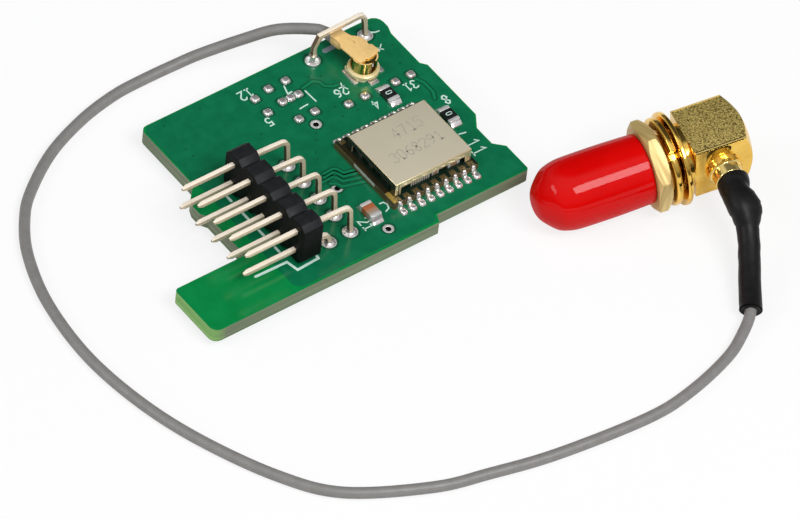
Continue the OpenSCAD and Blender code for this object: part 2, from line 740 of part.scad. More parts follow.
// Push-on cap: a bullet-nosed shell, its open end towards the nut
module jack_cap() {
    open_x = -washer_t - nut_t - 4 * fastener_gap;
    tip_at = open_x - cap_l;
    bore_r = thread_d / 2 + cap_fit;
    bore_end = -barrel_l - 0.25;
    r = cap_d / 2;
    nose = [[3.4, 0.98], [2.6, 0.935], [1.8, 0.85], [1.0, 0.655], [0.35, 0.44], [0.08, 0.24], [0, 0]];
    color("red") jack_frame() turned(concat(
        [[open_x, bore_r], [open_x, r - 0.1], [open_x - 4.5, r], [bore_end, r - 0.02]],
        [for (p = nose) [tip_at + p[0], r * p[1]]],
        [[bore_end, 0], [bore_end, bore_r]]));
}

// Cable and sleeve

module coax_cable() {
    sides = 8;
    path = concat([plug_point(crimp_l)], curve(route, 0, route_end, 2.2), [exit_point(1), exit_point(0)]);
    rows = len(path);
    color("gray") polyhedron(
        points = [for (i = [0 : rows - 1], q = ring(path, i, cable_d / 2, sides)) q],
        faces = concat(skin(rows, sides, 0, false), disc(sides, 0, true), disc(sides, (rows - 1) * sides, false)),
        convexity = 6);
}

// The sleeve grips the ferrule's end, then narrows on to the cable
module heat_sleeve() {
    sides = 16;
    on_cable = curve(route, sleeve_first, route_end - 1, 1.3);
    path = concat(on_cable, [for (d = [ferrule_l, sleeve_gap + 1.5, sleeve_gap]) exit_point(d)]);
    rows = len(path);
    grip = len(on_cable) - 1;
    outer = [for (i = [0 : rows - 1])
        let (near = (i - grip + 4) / 4)
        i >= grip ? sleeve_d / 2 : near <= 0 ? sleeve_end_d / 2
            : sleeve_end_d / 2 + (sleeve_d - sleeve_end_d) / 2 * near];
    inner = [for (i = [0 : rows - 1]) i >= grip ? ferrule_d / 2 + 0.05 : cable_d / 2 + 0.05];
    color([0.06, 0.06, 0.06]) polyhedron(
        points = concat([for (i = [0 : rows - 1], q = ring(path, i, outer[i], sides)) q],
                        [for (i = [0 : rows - 1], q = ring(path, i, inner[i], sides)) q]),
        faces = concat(skin(rows, sides, 0, false), skin(rows, sides, rows * sides, true),
                       band(sides, 0, rows * sides, true),
                       band(sides, (rows - 1) * sides, (2 * rows - 1) * sides, false)),
        convexity = 6);
}

pcb_core();
mask_top();
mask_bottom();
hole_rings();
header_body();
upper_pins();
lower_pins();
header_solder();
cable_hoop();
hoop_solder();
socket_base();
socket_contacts();
socket_solder();
module_board();
module_contacts();
module_solder();
shield_can();
receiver_chip();
chip_leads();
module_parts();
resistor_bodies();
capacitor_body();
chip_terminals();
terminal_solder();
pad_solder();
plug_shell();
plug_insulator();
coax_cable();
heat_sleeve();
ferrule();
jack_block();
jack_barrel();
jack_insulator();
jack_contact();
lock_washer();
hex_nut();
jack_cap();
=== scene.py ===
# %% [markdown]
# # Satellite receiver daughter board on a coax lead
# The real object is a small green circuit board with a shielded radio module, a two-row right-angle pin
# header and a grey coax lead that ends in a gold right-angle antenna jack under a red cap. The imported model
# already holds every piece at its size. This script gives each piece its soft edges, its solder, its print
# and its finish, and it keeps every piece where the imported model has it.

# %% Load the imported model
import math

import bmesh
import bpy
from mathutils import Matrix, Vector, noise


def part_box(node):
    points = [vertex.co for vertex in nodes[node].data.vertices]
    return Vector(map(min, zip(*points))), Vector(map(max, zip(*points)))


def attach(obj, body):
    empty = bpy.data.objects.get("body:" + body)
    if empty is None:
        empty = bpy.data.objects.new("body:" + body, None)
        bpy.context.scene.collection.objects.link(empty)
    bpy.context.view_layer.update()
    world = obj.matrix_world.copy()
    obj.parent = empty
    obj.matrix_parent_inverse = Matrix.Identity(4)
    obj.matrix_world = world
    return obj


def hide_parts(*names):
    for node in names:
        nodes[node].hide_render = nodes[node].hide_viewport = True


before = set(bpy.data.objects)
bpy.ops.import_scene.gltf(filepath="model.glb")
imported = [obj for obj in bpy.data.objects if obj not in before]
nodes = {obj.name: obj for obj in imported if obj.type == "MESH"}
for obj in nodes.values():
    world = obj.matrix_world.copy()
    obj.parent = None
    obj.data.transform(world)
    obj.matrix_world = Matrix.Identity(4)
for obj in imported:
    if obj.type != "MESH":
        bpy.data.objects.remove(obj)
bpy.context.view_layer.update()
MM = 0.001
print("nodes in the packed model:", len(nodes))

# %% [markdown]
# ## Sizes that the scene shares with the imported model
# A size that can be read from a node's box is read from it. The rest, such as the jack's place and the
# cable's route, are repeated in millimetres, because they can't be read back from a box.

# %% Places on the board


def box_mm(node):
    low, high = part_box(node)
    return low / MM, high / MM


core_low, core_high = box_mm("pcb_core")
module_low, module_high = box_mm("module_board")
can_low, can_high = box_mm("shield_can")
socket_low, socket_high = box_mm("socket_base")
body_low, body_high = box_mm("header_body")
hoop_low, hoop_high = box_mm("cable_hoop")
top_z = box_mm("mask_top")[1].z
under_z = box_mm("mask_bottom")[0].z
pitch = 2.54
columns = 5
pin_w = 0.46
hole_d = 1.0
open_hole_d = 0.65
ring_w = 0.28
row_x = body_high.x + 1.96
last_pin_y = body_low.y + pitch / 2
hoop_y = (hoop_low.y + hoop_high.y) / 2
hoop_feet = [hoop_low.x + pin_w / 2, hoop_high.x - pin_w / 2]
near_y = module_low.y - 2.6
far_y = core_high.y
right_x = core_high.x
left_x = row_x - 6.55
tongue_x = core_low.x
socket_at = Vector(((socket_low.x + socket_high.x) / 2, (socket_low.y + socket_high.y) / 2, socket_low.z))
pin_holes = [(row_x + row * pitch, last_pin_y + i * pitch) for row in (0, 1) for i in range(columns)]
hoop_holes = [(x, hoop_y) for x in hoop_feet]
open_holes = [(module_low.x + 0.4, module_high.y + 3.4),
              (module_low.x - 2.85, (module_low.y + module_high.y) / 2 + 0.4),
              (module_low.x - 1.85, near_y + 0.98)]
print("board spans", [round(v, 2) for v in (tongue_x, right_x, core_low.y, far_y)], "top at", round(top_z, 3))

# %% Places of the jack and the cable
plug_turn = math.radians(10)
crimp_l = 4.0
cable_d = 1.13
cable_axis_z = top_z + 1.5
jack_at = Vector((29.85, -19.5, 4.875))
jack_frame = (Matrix.Translation(jack_at) @ Matrix.Rotation(math.radians(-13.5), 4, "Z")
              @ Matrix.Rotation(math.radians(-6.5), 4, "Y"))
plug_frame = Matrix.Translation((socket_at.x, socket_at.y, 0)) @ Matrix.Rotation(plug_turn, 4, "Z")
block_w = 6.0
exit_x = 4.25
ferrule_l = 4.4
sleeve_gap = 1.9
lay_z = 0.57


def exit_point(distance):
    return jack_frame @ Vector((exit_x, -block_w / 2 - distance, 0))


def plug_point(distance):
    return plug_frame @ Vector((0, distance, cable_axis_z))


free_route = [
    (12, 13, 4), (9, 15.5, 3.5), (6, 17, 2.5), (2, 18.5, 1.3), (-0.5, 19, 0.8), (-4.5, 19.2, lay_z),
    (-8, 19, lay_z), (-12.5, 18, lay_z), (-17.5, 16, lay_z), (-22, 13, lay_z), (-24.5, 10.5, lay_z),
    (-27, 6.5, lay_z), (-29, 0.5, lay_z), (-29.8, -7, lay_z), (-29, -14.5, lay_z), (-27, -21.5, lay_z),
    (-23.5, -29, lay_z), (-19.5, -34, lay_z), (-12, -38, lay_z), (-6.5, -39.5, lay_z), (0.5, -41, lay_z),
    (10.5, -42, lay_z), (16, -41.5, lay_z), (21.5, -40, 0.6), (24.5, -38.5, 0.8),
]
sleeve_route = [(26.75, -36.85, 1.2), (28.45, -34.45, 1.8), (29.9, -32.15, 2.7), (30.8, -30.2, 3.8)]
route = [Vector(p) for p in [plug_point(crimp_l + 0.6), *free_route, *sleeve_route,
                             exit_point(ferrule_l + 0.5), exit_point(ferrule_l - 2)]]
sleeve_first = len(free_route) + 1


def smooth_line(points, first, last, step):
    """A smooth line that passes through the points from first to last, with a point about every step."""
    line = []
    for i in range(first, last):
        a, b, c, d = (points[max(i - 1, 0)], points[i], points[i + 1], points[min(i + 2, len(points) - 1)])
        steps = max(1, round((c - b).length / step))
        for s in range(steps):
            t = s / steps
            line.append(0.5 * (2 * b + (c - a) * t + (2 * a - 5 * b + 4 * c - d) * t ** 2
                               + (3 * b - a - 3 * c + d) * t ** 3))
    line.append(points[last])
    return line


def line_length(points):
    return sum((b - a).length for a, b in zip(points, points[1:]))


cable_line = [plug_point(crimp_l), *smooth_line(route, 0, len(route) - 1, 0.7), exit_point(1), exit_point(0)]
print("cable length in mm:", round(line_length(cable_line), 2))

# %% [markdown]
# ## Camera
# The photograph is taken from far away with a long lens, from the board's front left, looking down at 47
# degrees and rolled a little. The camera is given by the point that it looks at, its distance and three
# angles.

# %% Camera
azimuth = math.radians(-41.886)
elevation = math.radians(47.121)
roll = math.radians(7.044)
aim_at = Vector((1.441, -14.498, 2.6))
distance = 1036.70
back = Vector((math.sin(azimuth) * math.cos(elevation), -math.cos(azimuth) * math.cos(elevation),
               math.sin(elevation)))
level = Vector((math.cos(azimuth), math.sin(azimuth), 0))
right = level * math.cos(roll) + back.cross(level) * math.sin(roll)
camera_data = bpy.data.cameras.new("photo_camera")
camera_data.lens = 490.31
camera_data.sensor_width = 36
camera_data.clip_start = 0.05
camera_data.clip_end = 20
camera = bpy.data.objects.new("photo_camera", camera_data)
camera_axes = Matrix((right, back.cross(right), back)).transposed().to_4x4()
camera.matrix_world = Matrix.Translation((aim_at + back * distance) * MM) @ camera_axes
bpy.context.scene.collection.objects.link(camera)
bpy.context.scene.camera = camera
print("camera at", [round(v, 3) for v in camera.location])

# %% [markdown]
# ## Light, world and floor
# Gold and solder show whatever surrounds them, so the studio matters as much as the metal. The camera sees
# plain white, and everything else sees a room that is bright above and dim along the horizon, which puts
# the dark lines in the metal. A dark card hangs where the flat tops mirror it, so that the board keeps its
# deep green. One large soft box stands to the camera's right and a weaker one to its left. The floor is
# nearly white and keeps a faint shadow.

# %% World
scene = bpy.context.scene
scene.view_settings.view_transform = "Standard"
world = bpy.data.worlds.new("studio")
scene.world = world
world.use_nodes = True
tree = world.node_tree
tree.nodes.clear()
out = tree.nodes.new("ShaderNodeOutputWorld")
seen = tree.nodes.new("ShaderNodeBackground")
seen.inputs["Color"].default_value = (1, 1, 1, 1)
room = tree.nodes.new("ShaderNodeBackground")
path = tree.nodes.new("ShaderNodeLightPath")
mix = tree.nodes.new("ShaderNodeMixShader")
direction = tree.nodes.new("ShaderNodeTexCoord")
split = tree.nodes.new("ShaderNodeSeparateXYZ")
ramp = tree.nodes.new("ShaderNodeValToRGB")
room_levels = [(0.0, 0.55), (0.02, 0.10), (0.16, 0.15), (0.30, 0.40), (0.62, 0.55), (1.0, 0.95)]
while len(ramp.color_ramp.elements) < len(room_levels):
    ramp.color_ramp.elements.new(0.5)
for element, (at, value) in zip(ramp.color_ramp.elements, room_levels):
    element.position = at
    element.color = (value, value, value * 1.02, 1)
tree.links.new(direction.outputs["Generated"], split.inputs[0])
tree.links.new(split.outputs["Z"], ramp.inputs["Fac"])
card_towards = tree.nodes.new("ShaderNodeVectorMath")
card_towards.operation = "DOT_PRODUCT"
card_towards.inputs[1].default_value = (0.454, 0.507, 0.733)
card = tree.nodes.new("ShaderNodeMapRange")
card.interpolation_type = "SMOOTHSTEP"
card.inputs["From Min"].default_value = 0.70
card.inputs["From Max"].default_value = 0.90
card.inputs["To Min"].default_value = 1.0
card.inputs["To Max"].default_value = 0.10
dimmed = tree.nodes.new("ShaderNodeVectorMath")
dimmed.operation = "SCALE"
tree.links.new(direction.outputs["Generated"], card_towards.inputs[0])
tree.links.new(card_towards.outputs["Value"], card.inputs["Value"])
tree.links.new(ramp.outputs["Color"], dimmed.inputs[0])
tree.links.new(card.outputs["Result"], dimmed.inputs["Scale"])
tree.links.new(dimmed.outputs[0], room.inputs["Color"])
tree.links.new(path.outputs["Is Camera Ray"], mix.inputs["Fac"])
tree.links.new(room.outputs[0], mix.inputs[1])
tree.links.new(seen.outputs[0], mix.inputs[2])
tree.links.new(mix.outputs[0], out.inputs["Surface"])
print("world made, room levels:", len(room_levels))

# %% Soft boxes


def soft_box(name, azimuth_deg, elevation_deg, away, size, power, aim=(8, -12, 2)):
    """A rectangular lamp, placed by the direction in which it stands from the object."""
    lamp = bpy.data.lights.new(name, "AREA")
    lamp.shape = "RECTANGLE"
    lamp.size, lamp.size_y = size
    lamp.energy = power
    turn, lift = math.radians(azimuth_deg), math.radians(elevation_deg)
    towards = Vector((math.sin(turn) * math.cos(lift), -math.cos(turn) * math.cos(lift), math.sin(lift)))
    obj = bpy.data.objects.new(name, lamp)
    obj.location = Vector(aim) * MM + towards * away
    obj.rotation_euler = (-towards).to_track_quat("-Z", "Y").to_euler()
    scene.collection.objects.link(obj)
    return obj


soft_box("key_box", 4, 54, 0.55, (0.26, 0.20), 1.9)
soft_box("side_box", -105, 34, 0.60, (0.30, 0.16), 0.8)

# %% Floor


def new_mesh_object(name, verts, faces, smooth=False):
    mesh = bpy.data.meshes.new(name)
    mesh.from_pydata([Vector(v) * MM for v in verts], [], faces)
    mesh.update()
    if smooth:
        mesh.polygons.foreach_set("use_smooth", [True] * len(mesh.polygons))
    obj = bpy.data.objects.new(name, mesh)
    scene.collection.objects.link(obj)
    return obj


floor_half = 900
floor = new_mesh_object("studio_floor", [(-floor_half, -floor_half, 0), (floor_half, -floor_half, 0),
                                         (floor_half, floor_half, 0), (-floor_half, floor_half, 0)],
                        [(0, 1, 2, 3)])
floor_mat = bpy.data.materials.new("floor_paper")
floor_mat.use_nodes = True
tree = floor_mat.node_tree
tree.nodes.clear()
out = tree.nodes.new("ShaderNodeOutputMaterial")
paper = tree.nodes.new("ShaderNodeBsdfDiffuse")
paper.inputs["Color"].default_value = (0.86, 0.86, 0.86, 1)
glow = tree.nodes.new("ShaderNodeEmission")
path = tree.nodes.new("ShaderNodeLightPath")
for_eye = tree.nodes.new("ShaderNodeMath")
for_eye.operation = "MULTIPLY_ADD"
for_eye.inputs[1].default_value = 0.55
for_eye.inputs[2].default_value = 0.25
mix = tree.nodes.new("ShaderNodeMixShader")
tree.links.new(path.outputs["Is Camera Ray"], for_eye.inputs[0])
tree.links.new(for_eye.outputs[0], mix.inputs["Fac"])
tree.links.new(paper.outputs[0], mix.inputs[1])
tree.links.new(glow.outputs[0], mix.inputs[2])
tree.links.new(mix.outputs[0], out.inputs["Surface"])
floor.data.materials.append(floor_mat)
print("floor half width in mm:", floor_half)

# %% [markdown]
# ## Tools for shapes
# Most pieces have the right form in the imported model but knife-sharp edges, and a real edge catches a thin
# line of light. `softened` copies a node, welds it, clears its flat faces of extra edges and bevels what is
# left. New forms come from four makers: a lathe for what is turned, a sweep for what follows a line, a
# plate for what is cut from a sheet, and further down a strip for print and traces.

# %% Copy a node with soft edges


def finish_piece(obj, body, material=None, replaces=()):
    """Puts a finished piece on its body and its material."""
    if material is not None:
        obj.data.materials.clear()
        obj.data.materials.append(material)
    if replaces:
        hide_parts(*replaces)
    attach(obj, body)
    return obj


def mend_faces(mesh, weld=None):
    """Welds points that are closer than weld metres, where it is given, and turns every face outwards."""
    form = bmesh.new()
    form.from_mesh(mesh)
    if weld:
        bmesh.ops.remove_doubles(form, verts=form.verts, dist=weld)
    bmesh.ops.recalc_face_normals(form, faces=form.faces)
    form.to_mesh(mesh)
    form.free()


def bake_modifiers(obj):
    """Turns an object's modifiers into plain mesh."""
    depsgraph = bpy.context.evaluated_depsgraph_get()
    mesh = bpy.data.meshes.new_from_object(obj.evaluated_get(depsgraph))
    obj.modifiers.clear()
    old = obj.data
    obj.data = mesh
    bpy.data.meshes.remove(old)
    return obj


def set_smooth(mesh, angle=35):
    mesh.polygons.foreach_set("use_smooth", [True] * len(mesh.polygons))
    mesh.set_sharp_from_angle(angle=math.radians(angle))


def bevelled(obj, width, segments=2, angle=25):
    """Rounds an object's edges by width millimetres."""
    bevel = obj.modifiers.new("soft_edges", "BEVEL")
    bevel.width = width * MM
    bevel.segments = segments
    bevel.limit_method = "ANGLE"
    bevel.angle_limit = math.radians(angle)
    bake_modifiers(obj)
    set_smooth(obj.data, 40)
    return obj


def softened(node, width, segments=2, angle=25, weld=0.001):
    """A copy of a node whose edges are rounded by width millimetres."""
    mesh = nodes[node].data.copy()
    mesh.materials.clear()
    form = bmesh.new()
    form.from_mesh(mesh)
    bmesh.ops.remove_doubles(form, verts=form.verts, dist=weld * MM)
    bmesh.ops.dissolve_limit(form, angle_limit=math.radians(1), verts=form.verts, edges=form.edges)
    form.to_mesh(mesh)
    form.free()
    if mesh.has_custom_normals:
        mesh.attributes.remove(mesh.attributes["custom_normal"])
    obj = bpy.data.objects.new(node + "_finished", mesh)
    scene.collection.objects.link(obj)
    return bevelled(obj, width, segments, angle)


print("soft edge helper ready")

# %% Lathe, sweep and plate
# Points closer than this, in metres, are one point
same_point = 1e-7


def turned(name, profile, place, sides=96, closed=True):
    """Turns a profile of (along, radius) about the X axis of place."""
    verts, faces = [], []
    count = len(profile)
    for k in range(sides):
        turn = 2 * math.pi * k / sides
        verts += [place @ Vector((along, r * math.cos(turn), r * math.sin(turn))) for along, r in profile]
    last = count if closed else count - 1
    for k in range(sides):
        here, there = k * count, (k + 1) % sides * count
        for i in range(last):
            j = (i + 1) % count
            faces.append((here + i, here + j, there + j, there + i))
    obj = new_mesh_object(name, verts, faces)
    mend_faces(obj.data, same_point)
    set_smooth(obj.data, 35)
    return obj


def rings_along(line, radii, sides):
    """Rings of points square to a line, carried along it without twist."""
    rows = []
    side = None
    for i, point in enumerate(line):
        ahead = (line[min(i + 1, len(line) - 1)] - line[max(i - 1, 0)]).normalized()
        side = ahead.cross(Vector((0, 0, 1))) if side is None else side - ahead * side.dot(ahead)
        side.normalize()
        up = side.cross(ahead)
        rows.append([point + radii[i] * (math.cos(2 * math.pi * k / sides) * side
                                         + math.sin(2 * math.pi * k / sides) * up) for k in range(sides)])
    return rows


def skinned(name, rows, cap_ends=True):
    """Joins rings of points into one tube."""
    sides = len(rows[0])
    verts = [p for row in rows for p in row]
    faces = []
    for i in range(len(rows) - 1):
        for k in range(sides):
            a, b = i * sides + k, i * sides + (k + 1) % sides
            faces.append((a, b, b + sides, a + sides))
    if cap_ends:
        faces.append(tuple(reversed(range(sides))))
        faces.append(tuple(range((len(rows) - 1) * sides, len(rows) * sides)))
    obj = new_mesh_object(name, verts, faces)
    mend_faces(obj.data)
    set_smooth(obj.data, 50)
    return obj


def plate(name, loops, low, high, edge=0.0, edge_steps=2):
    """A sheet cut to closed outlines, from z low to z high, with rounded edges. Inner outlines are holes."""
    curve = bpy.data.curves.new(name, "CURVE")
    curve.dimensions = "2D"
    curve.fill_mode = "BOTH"
    for loop in loops:
        spline = curve.splines.new("POLY")
        spline.points.add(len(loop) - 1)
        for point, (x, y) in zip(spline.points, loop):
            point.co = (x * MM, y * MM, 0, 1)
        spline.use_cyclic_u = True
    curve.extrude = ((high - low) / 2 - edge) * MM
    curve.bevel_depth = edge * MM
    curve.bevel_resolution = edge_steps
    curve.offset = -edge * MM
    source = bpy.data.objects.new(name, curve)
    scene.collection.objects.link(source)
    mesh = bpy.data.meshes.new_from_object(source.evaluated_get(bpy.context.evaluated_depsgraph_get()))
    bpy.data.objects.remove(source)
    bpy.data.curves.remove(curve)
    mesh.transform(Matrix.Translation((0, 0, (low + high) / 2 * MM)))
    mend_faces(mesh, same_point)
    obj = bpy.data.objects.new(name, mesh)
    scene.collection.objects.link(obj)
    set_smooth(mesh, 50)
    return obj


def merged(forms):
    """The points and faces of many forms, as those of one."""
    verts, faces = [], []
    for more_verts, more_faces in forms:
        base = len(verts)
        verts += more_verts
        faces += [tuple(base + i for i in face) for face in more_faces]
    return verts, faces


def rectangle(low_x, low_y, high_x, high_y):
    return [(low_x, low_y), (high_x, low_y), (high_x, high_y), (low_x, high_y)]


def ring_loop(x, y, radius, count=32):
    return [(x + radius * math.cos(2 * math.pi * k / count), y + radius * math.sin(2 * math.pi * k / count))
            for k in range(count)]


def joined(name, parts):
    """One object from several, and the parts are used up."""
    form = bmesh.new()
    for part in parts:
        part.data.transform(part.matrix_world)
        form.from_mesh(part.data)
    mesh = bpy.data.meshes.new(name)
    form.to_mesh(mesh)
    form.free()
    for part in parts:
        bpy.data.objects.remove(part)
    obj = bpy.data.objects.new(name, mesh)
    scene.collection.objects.link(obj)
    set_smooth(mesh, 40)
    return obj


print("shape makers ready")

# %% [markdown]
# ## Tools for finishes
# Three effects repeat over the object, and each is a node group with its own inputs. Mottle breaks up a
# colour and its gloss in soft patches. Streaks are fine lines drawn along one axis, for brushed metal and
# glass fibre. Pits are the small craters of cast metal. Each material keeps its own Principled shader,
# where the plain values are set. On some pieces light and shade are painted into the colour: each face
# gets a lighter or darker copy of its material by the way that it looks.

# %% Effect groups


def new_group(name, sockets):
    """An empty shader node group. sockets are (name, direction, type, start value)."""
    group = bpy.data.node_groups.new(name, "ShaderNodeTree")
    for label, way, kind, start in sockets:
        socket = group.interface.new_socket(name=label, in_out=way, socket_type=kind)
        if start is not None:
            socket.default_value = start
    return group, group.nodes.new("NodeGroupInput"), group.nodes.new("NodeGroupOutput")


def value_between(group, factor, low, high):
    """low + (high - low) * factor, as nodes."""
    spread = group.nodes.new("ShaderNodeMapRange")
    group.links.new(factor, spread.inputs["Value"])
    group.links.new(low, spread.inputs["To Min"])
    group.links.new(high, spread.inputs["To Max"])
    return spread.outputs["Result"]


def colour_between(group, factor, one, other):
    blend = group.nodes.new("ShaderNodeMix")
    blend.data_type = "RGBA"
    group.links.new(factor, blend.inputs["Factor"])
    group.links.new(one, blend.inputs[6])
    group.links.new(other, blend.inputs[7])
    return blend.outputs[2]


def steepened(group, value, low, high):
    """0 to 1 between two levels of a texture, as nodes."""
    ramp = group.nodes.new("ShaderNodeMapRange")
    ramp.inputs["From Min"].default_value = low
    ramp.inputs["From Max"].default_value = high
    group.links.new(value, ramp.inputs["Value"])
    return ramp.outputs["Result"]


def put_out(group, given, result, share, height):
    """Colour and roughness go from their first value to their second with share."""
    group.links.new(colour_between(group, share, given.outputs["Colour"], given.outputs["Other Colour"]),
                    result.inputs["Colour"])
    group.links.new(value_between(group, share, given.outputs["Gloss Low"], given.outputs["Gloss High"]),
                    result.inputs["Roughness"])
    group.links.new(height, result.inputs["Height"])
    return group


FLOAT, COLOR, VECTOR = "NodeSocketFloat", "NodeSocketColor", "NodeSocketVector"
finish_sockets = [
    ("Colour", "INPUT", COLOR, (0.5, 0.5, 0.5, 1)), ("Other Colour", "INPUT", COLOR, (0.4, 0.4, 0.4, 1)),
    ("Gloss Low", "INPUT", FLOAT, 0.3), ("Gloss High", "INPUT", FLOAT, 0.4),
    ("Scale", "INPUT", FLOAT, 400.0),
    ("Colour", "OUTPUT", COLOR, None), ("Roughness", "OUTPUT", FLOAT, None),
    ("Height", "OUTPUT", FLOAT, None),
]


def mottle_group():
    group, given, result = new_group("mottle", finish_sockets)
    place = group.nodes.new("ShaderNodeTexCoord")
    cloud = group.nodes.new("ShaderNodeTexNoise")
    cloud.inputs["Detail"].default_value = 4
    cloud.inputs["Roughness"].default_value = 0.6
    group.links.new(place.outputs["Object"], cloud.inputs["Vector"])
    group.links.new(given.outputs["Scale"], cloud.inputs["Scale"])
    share = steepened(group, cloud.outputs["Fac"], 0.35, 0.65)
    return put_out(group, given, result, share, cloud.outputs["Fac"])


def streak_group():
    group, given, result = new_group("streaks",
                                     finish_sockets + [("Along", "INPUT", VECTOR, (1.0, 0.05, 1.0))])
    place = group.nodes.new("ShaderNodeTexCoord")
    stretch = group.nodes.new("ShaderNodeVectorMath")
    stretch.operation = "MULTIPLY"
    lines = group.nodes.new("ShaderNodeTexNoise")
    lines.inputs["Detail"].default_value = 3
    group.links.new(place.outputs["Object"], stretch.inputs[0])
    group.links.new(given.outputs["Along"], stretch.inputs[1])
    group.links.new(stretch.outputs[0], lines.inputs["Vector"])
    group.links.new(given.outputs["Scale"], lines.inputs["Scale"])
    share = steepened(group, lines.outputs["Fac"], 0.38, 0.62)
    return put_out(group, given, result, share, lines.outputs["Fac"])


def pit_group():
    group, given, result = new_group("pits", finish_sockets)
    place = group.nodes.new("ShaderNodeTexCoord")
    craters = group.nodes.new("ShaderNodeTexVoronoi")
    craters.feature = "SMOOTH_F1"
    grit = group.nodes.new("ShaderNodeTexNoise")
    grit.inputs["Detail"].default_value = 3
    bumps = group.nodes.new("ShaderNodeMath")
    bumps.operation = "ADD"
    for texture in (craters, grit):
        group.links.new(place.outputs["Object"], texture.inputs["Vector"])
        group.links.new(given.outputs["Scale"], texture.inputs["Scale"])
    group.links.new(craters.outputs["Distance"], bumps.inputs[0])
    group.links.new(grit.outputs["Fac"], bumps.inputs[1])
    share = steepened(group, bumps.outputs[0], 0.55, 1.25)
    return put_out(group, given, result, share, bumps.outputs[0])


def share_along(tree, axis, start, end, easing="LINEAR"):
    """0 to 1 between two places on an axis of the object, in millimetres, as nodes."""
    place = tree.nodes.new("ShaderNodeTexCoord")
    parts = tree.nodes.new("ShaderNodeSeparateXYZ")
    share = tree.nodes.new("ShaderNodeMapRange")
    share.interpolation_type = easing
    share.inputs["From Min"].default_value = start * MM
    share.inputs["From Max"].default_value = end * MM
    tree.links.new(place.outputs["Object"], parts.inputs[0])
    tree.links.new(parts.outputs[axis], share.inputs["Value"])
    return share.outputs["Result"]


mottle = mottle_group()
streaks = streak_group()
pits = pit_group()
print("effect groups:", [g.name for g in bpy.data.node_groups])

# %% One maker for all plain finishes


def srgb(r, g, b):
    """A colour read as 0 to 255 in the picture, as the linear values that a shader takes."""
    return tuple(((v / 255 + 0.055) / 1.055) ** 2.4 if v > 10 else v / 255 / 12.92 for v in (r, g, b)) + (1,)


def surface(name, colour, other, gloss, scale, effect=None, metal=0.0, bump=0.0, coat=0.0, along=None,
            sheer=0.0, specular=0.5):
    """A material: one effect group feeds colour, roughness and a bump of that many millimetres."""
    material = bpy.data.materials.new(name)
    material.use_nodes = True
    nodes_in = material.node_tree.nodes
    links = material.node_tree.links
    shader = nodes_in["Principled BSDF"]
    shader.inputs["Metallic"].default_value = metal
    shader.inputs["Coat Weight"].default_value = coat
    shader.inputs["Coat Roughness"].default_value = 0.05
    shader.inputs["Specular IOR Level"].default_value = specular
    shader.inputs["Subsurface Weight"].default_value = sheer
    if sheer:
        shader.inputs["Subsurface Scale"].default_value = 0.0006
    worked = nodes_in.new("ShaderNodeGroup")
    worked.node_tree = effect or mottle
    worked.inputs["Colour"].default_value = colour
    worked.inputs["Other Colour"].default_value = other
    worked.inputs["Gloss Low"].default_value, worked.inputs["Gloss High"].default_value = gloss
    worked.inputs["Scale"].default_value = scale
    if along:
        worked.inputs["Along"].default_value = along
    links.new(worked.outputs["Colour"], shader.inputs["Base Color"])
    links.new(worked.outputs["Roughness"], shader.inputs["Roughness"])
    if bump:
        relief = nodes_in.new("ShaderNodeBump")
        relief.inputs["Strength"].default_value = 1
        relief.inputs["Distance"].default_value = bump * MM
        links.new(worked.outputs["Height"], relief.inputs["Height"])
        links.new(relief.outputs["Normal"], shader.inputs["Normal"])
    return material


mask_over_copper = surface("mask_over_copper", srgb(6, 102, 66), srgb(10, 112, 73), (0.16, 0.24), 700,
                           bump=0.004)
mask_bare = surface("mask_bare", srgb(0, 122, 58), srgb(2, 130, 66), (0.16, 0.24), 500, bump=0.004)
# Nearly black green, a painted shade: it fills the clearances round pads and beside traces, and the via dips.
mask_painted_shade = surface("mask_painted_shade", srgb(4, 80, 52), srgb(6, 88, 57), (0.2, 0.3), 900)
# Lighter than the pour over the same copper: a painted highlight along the trace tops.
mask_trace_highlit = surface("mask_trace_highlit", srgb(18, 124, 82), srgb(14, 118, 76), (0.15, 0.22), 700)
# Lit and shaded copies of the header's black: the top is painted lighter and the sides darker.
header_top_painted_lit = surface("header_top_painted_lit", srgb(26, 28, 30), srgb(32, 34, 36), (0.42, 0.55), 1500, bump=0.006,
                     specular=0.15)
header_side_painted_shade = surface("header_side_painted_shade", srgb(8, 10, 9), srgb(13, 15, 14), (0.42, 0.55), 1500, bump=0.006,
                      specular=0.08)
# Lit and shaded copies of the pins' pale gold: upper faces painted light, left and lower faces painted shade,
# other sides in between.
pin_top_painted_lit = surface("pin_top_painted_lit", srgb(255, 244, 226), srgb(250, 236, 214), (0.26, 0.30), 300, metal=0.1)
pin_painted_shade = surface("pin_painted_shade", srgb(112, 90, 66), srgb(92, 72, 50), (0.26, 0.34), 900, metal=0.35)
pin_side = surface("pin_side", srgb(222, 206, 180), srgb(208, 190, 162), (0.26, 0.34), 900, metal=0.3)
# Near-white, low-metal solder: the left foot's lobes are painted as glints.
solder_painted_glint = surface("solder_painted_glint", srgb(255, 253, 251), srgb(240, 236, 234), (0.12, 0.2), 2600,
                        metal=0.15)
# Painted shade for the walls inside the plated holes.
hole_painted_shade = surface("hole_painted_shade", srgb(34, 30, 24), srgb(24, 21, 16), (0.4, 0.5), 2600)
tin = surface("tin", srgb(226, 226, 224), srgb(210, 210, 208), (0.14, 0.26), 2200, metal=0.4, bump=0.006)
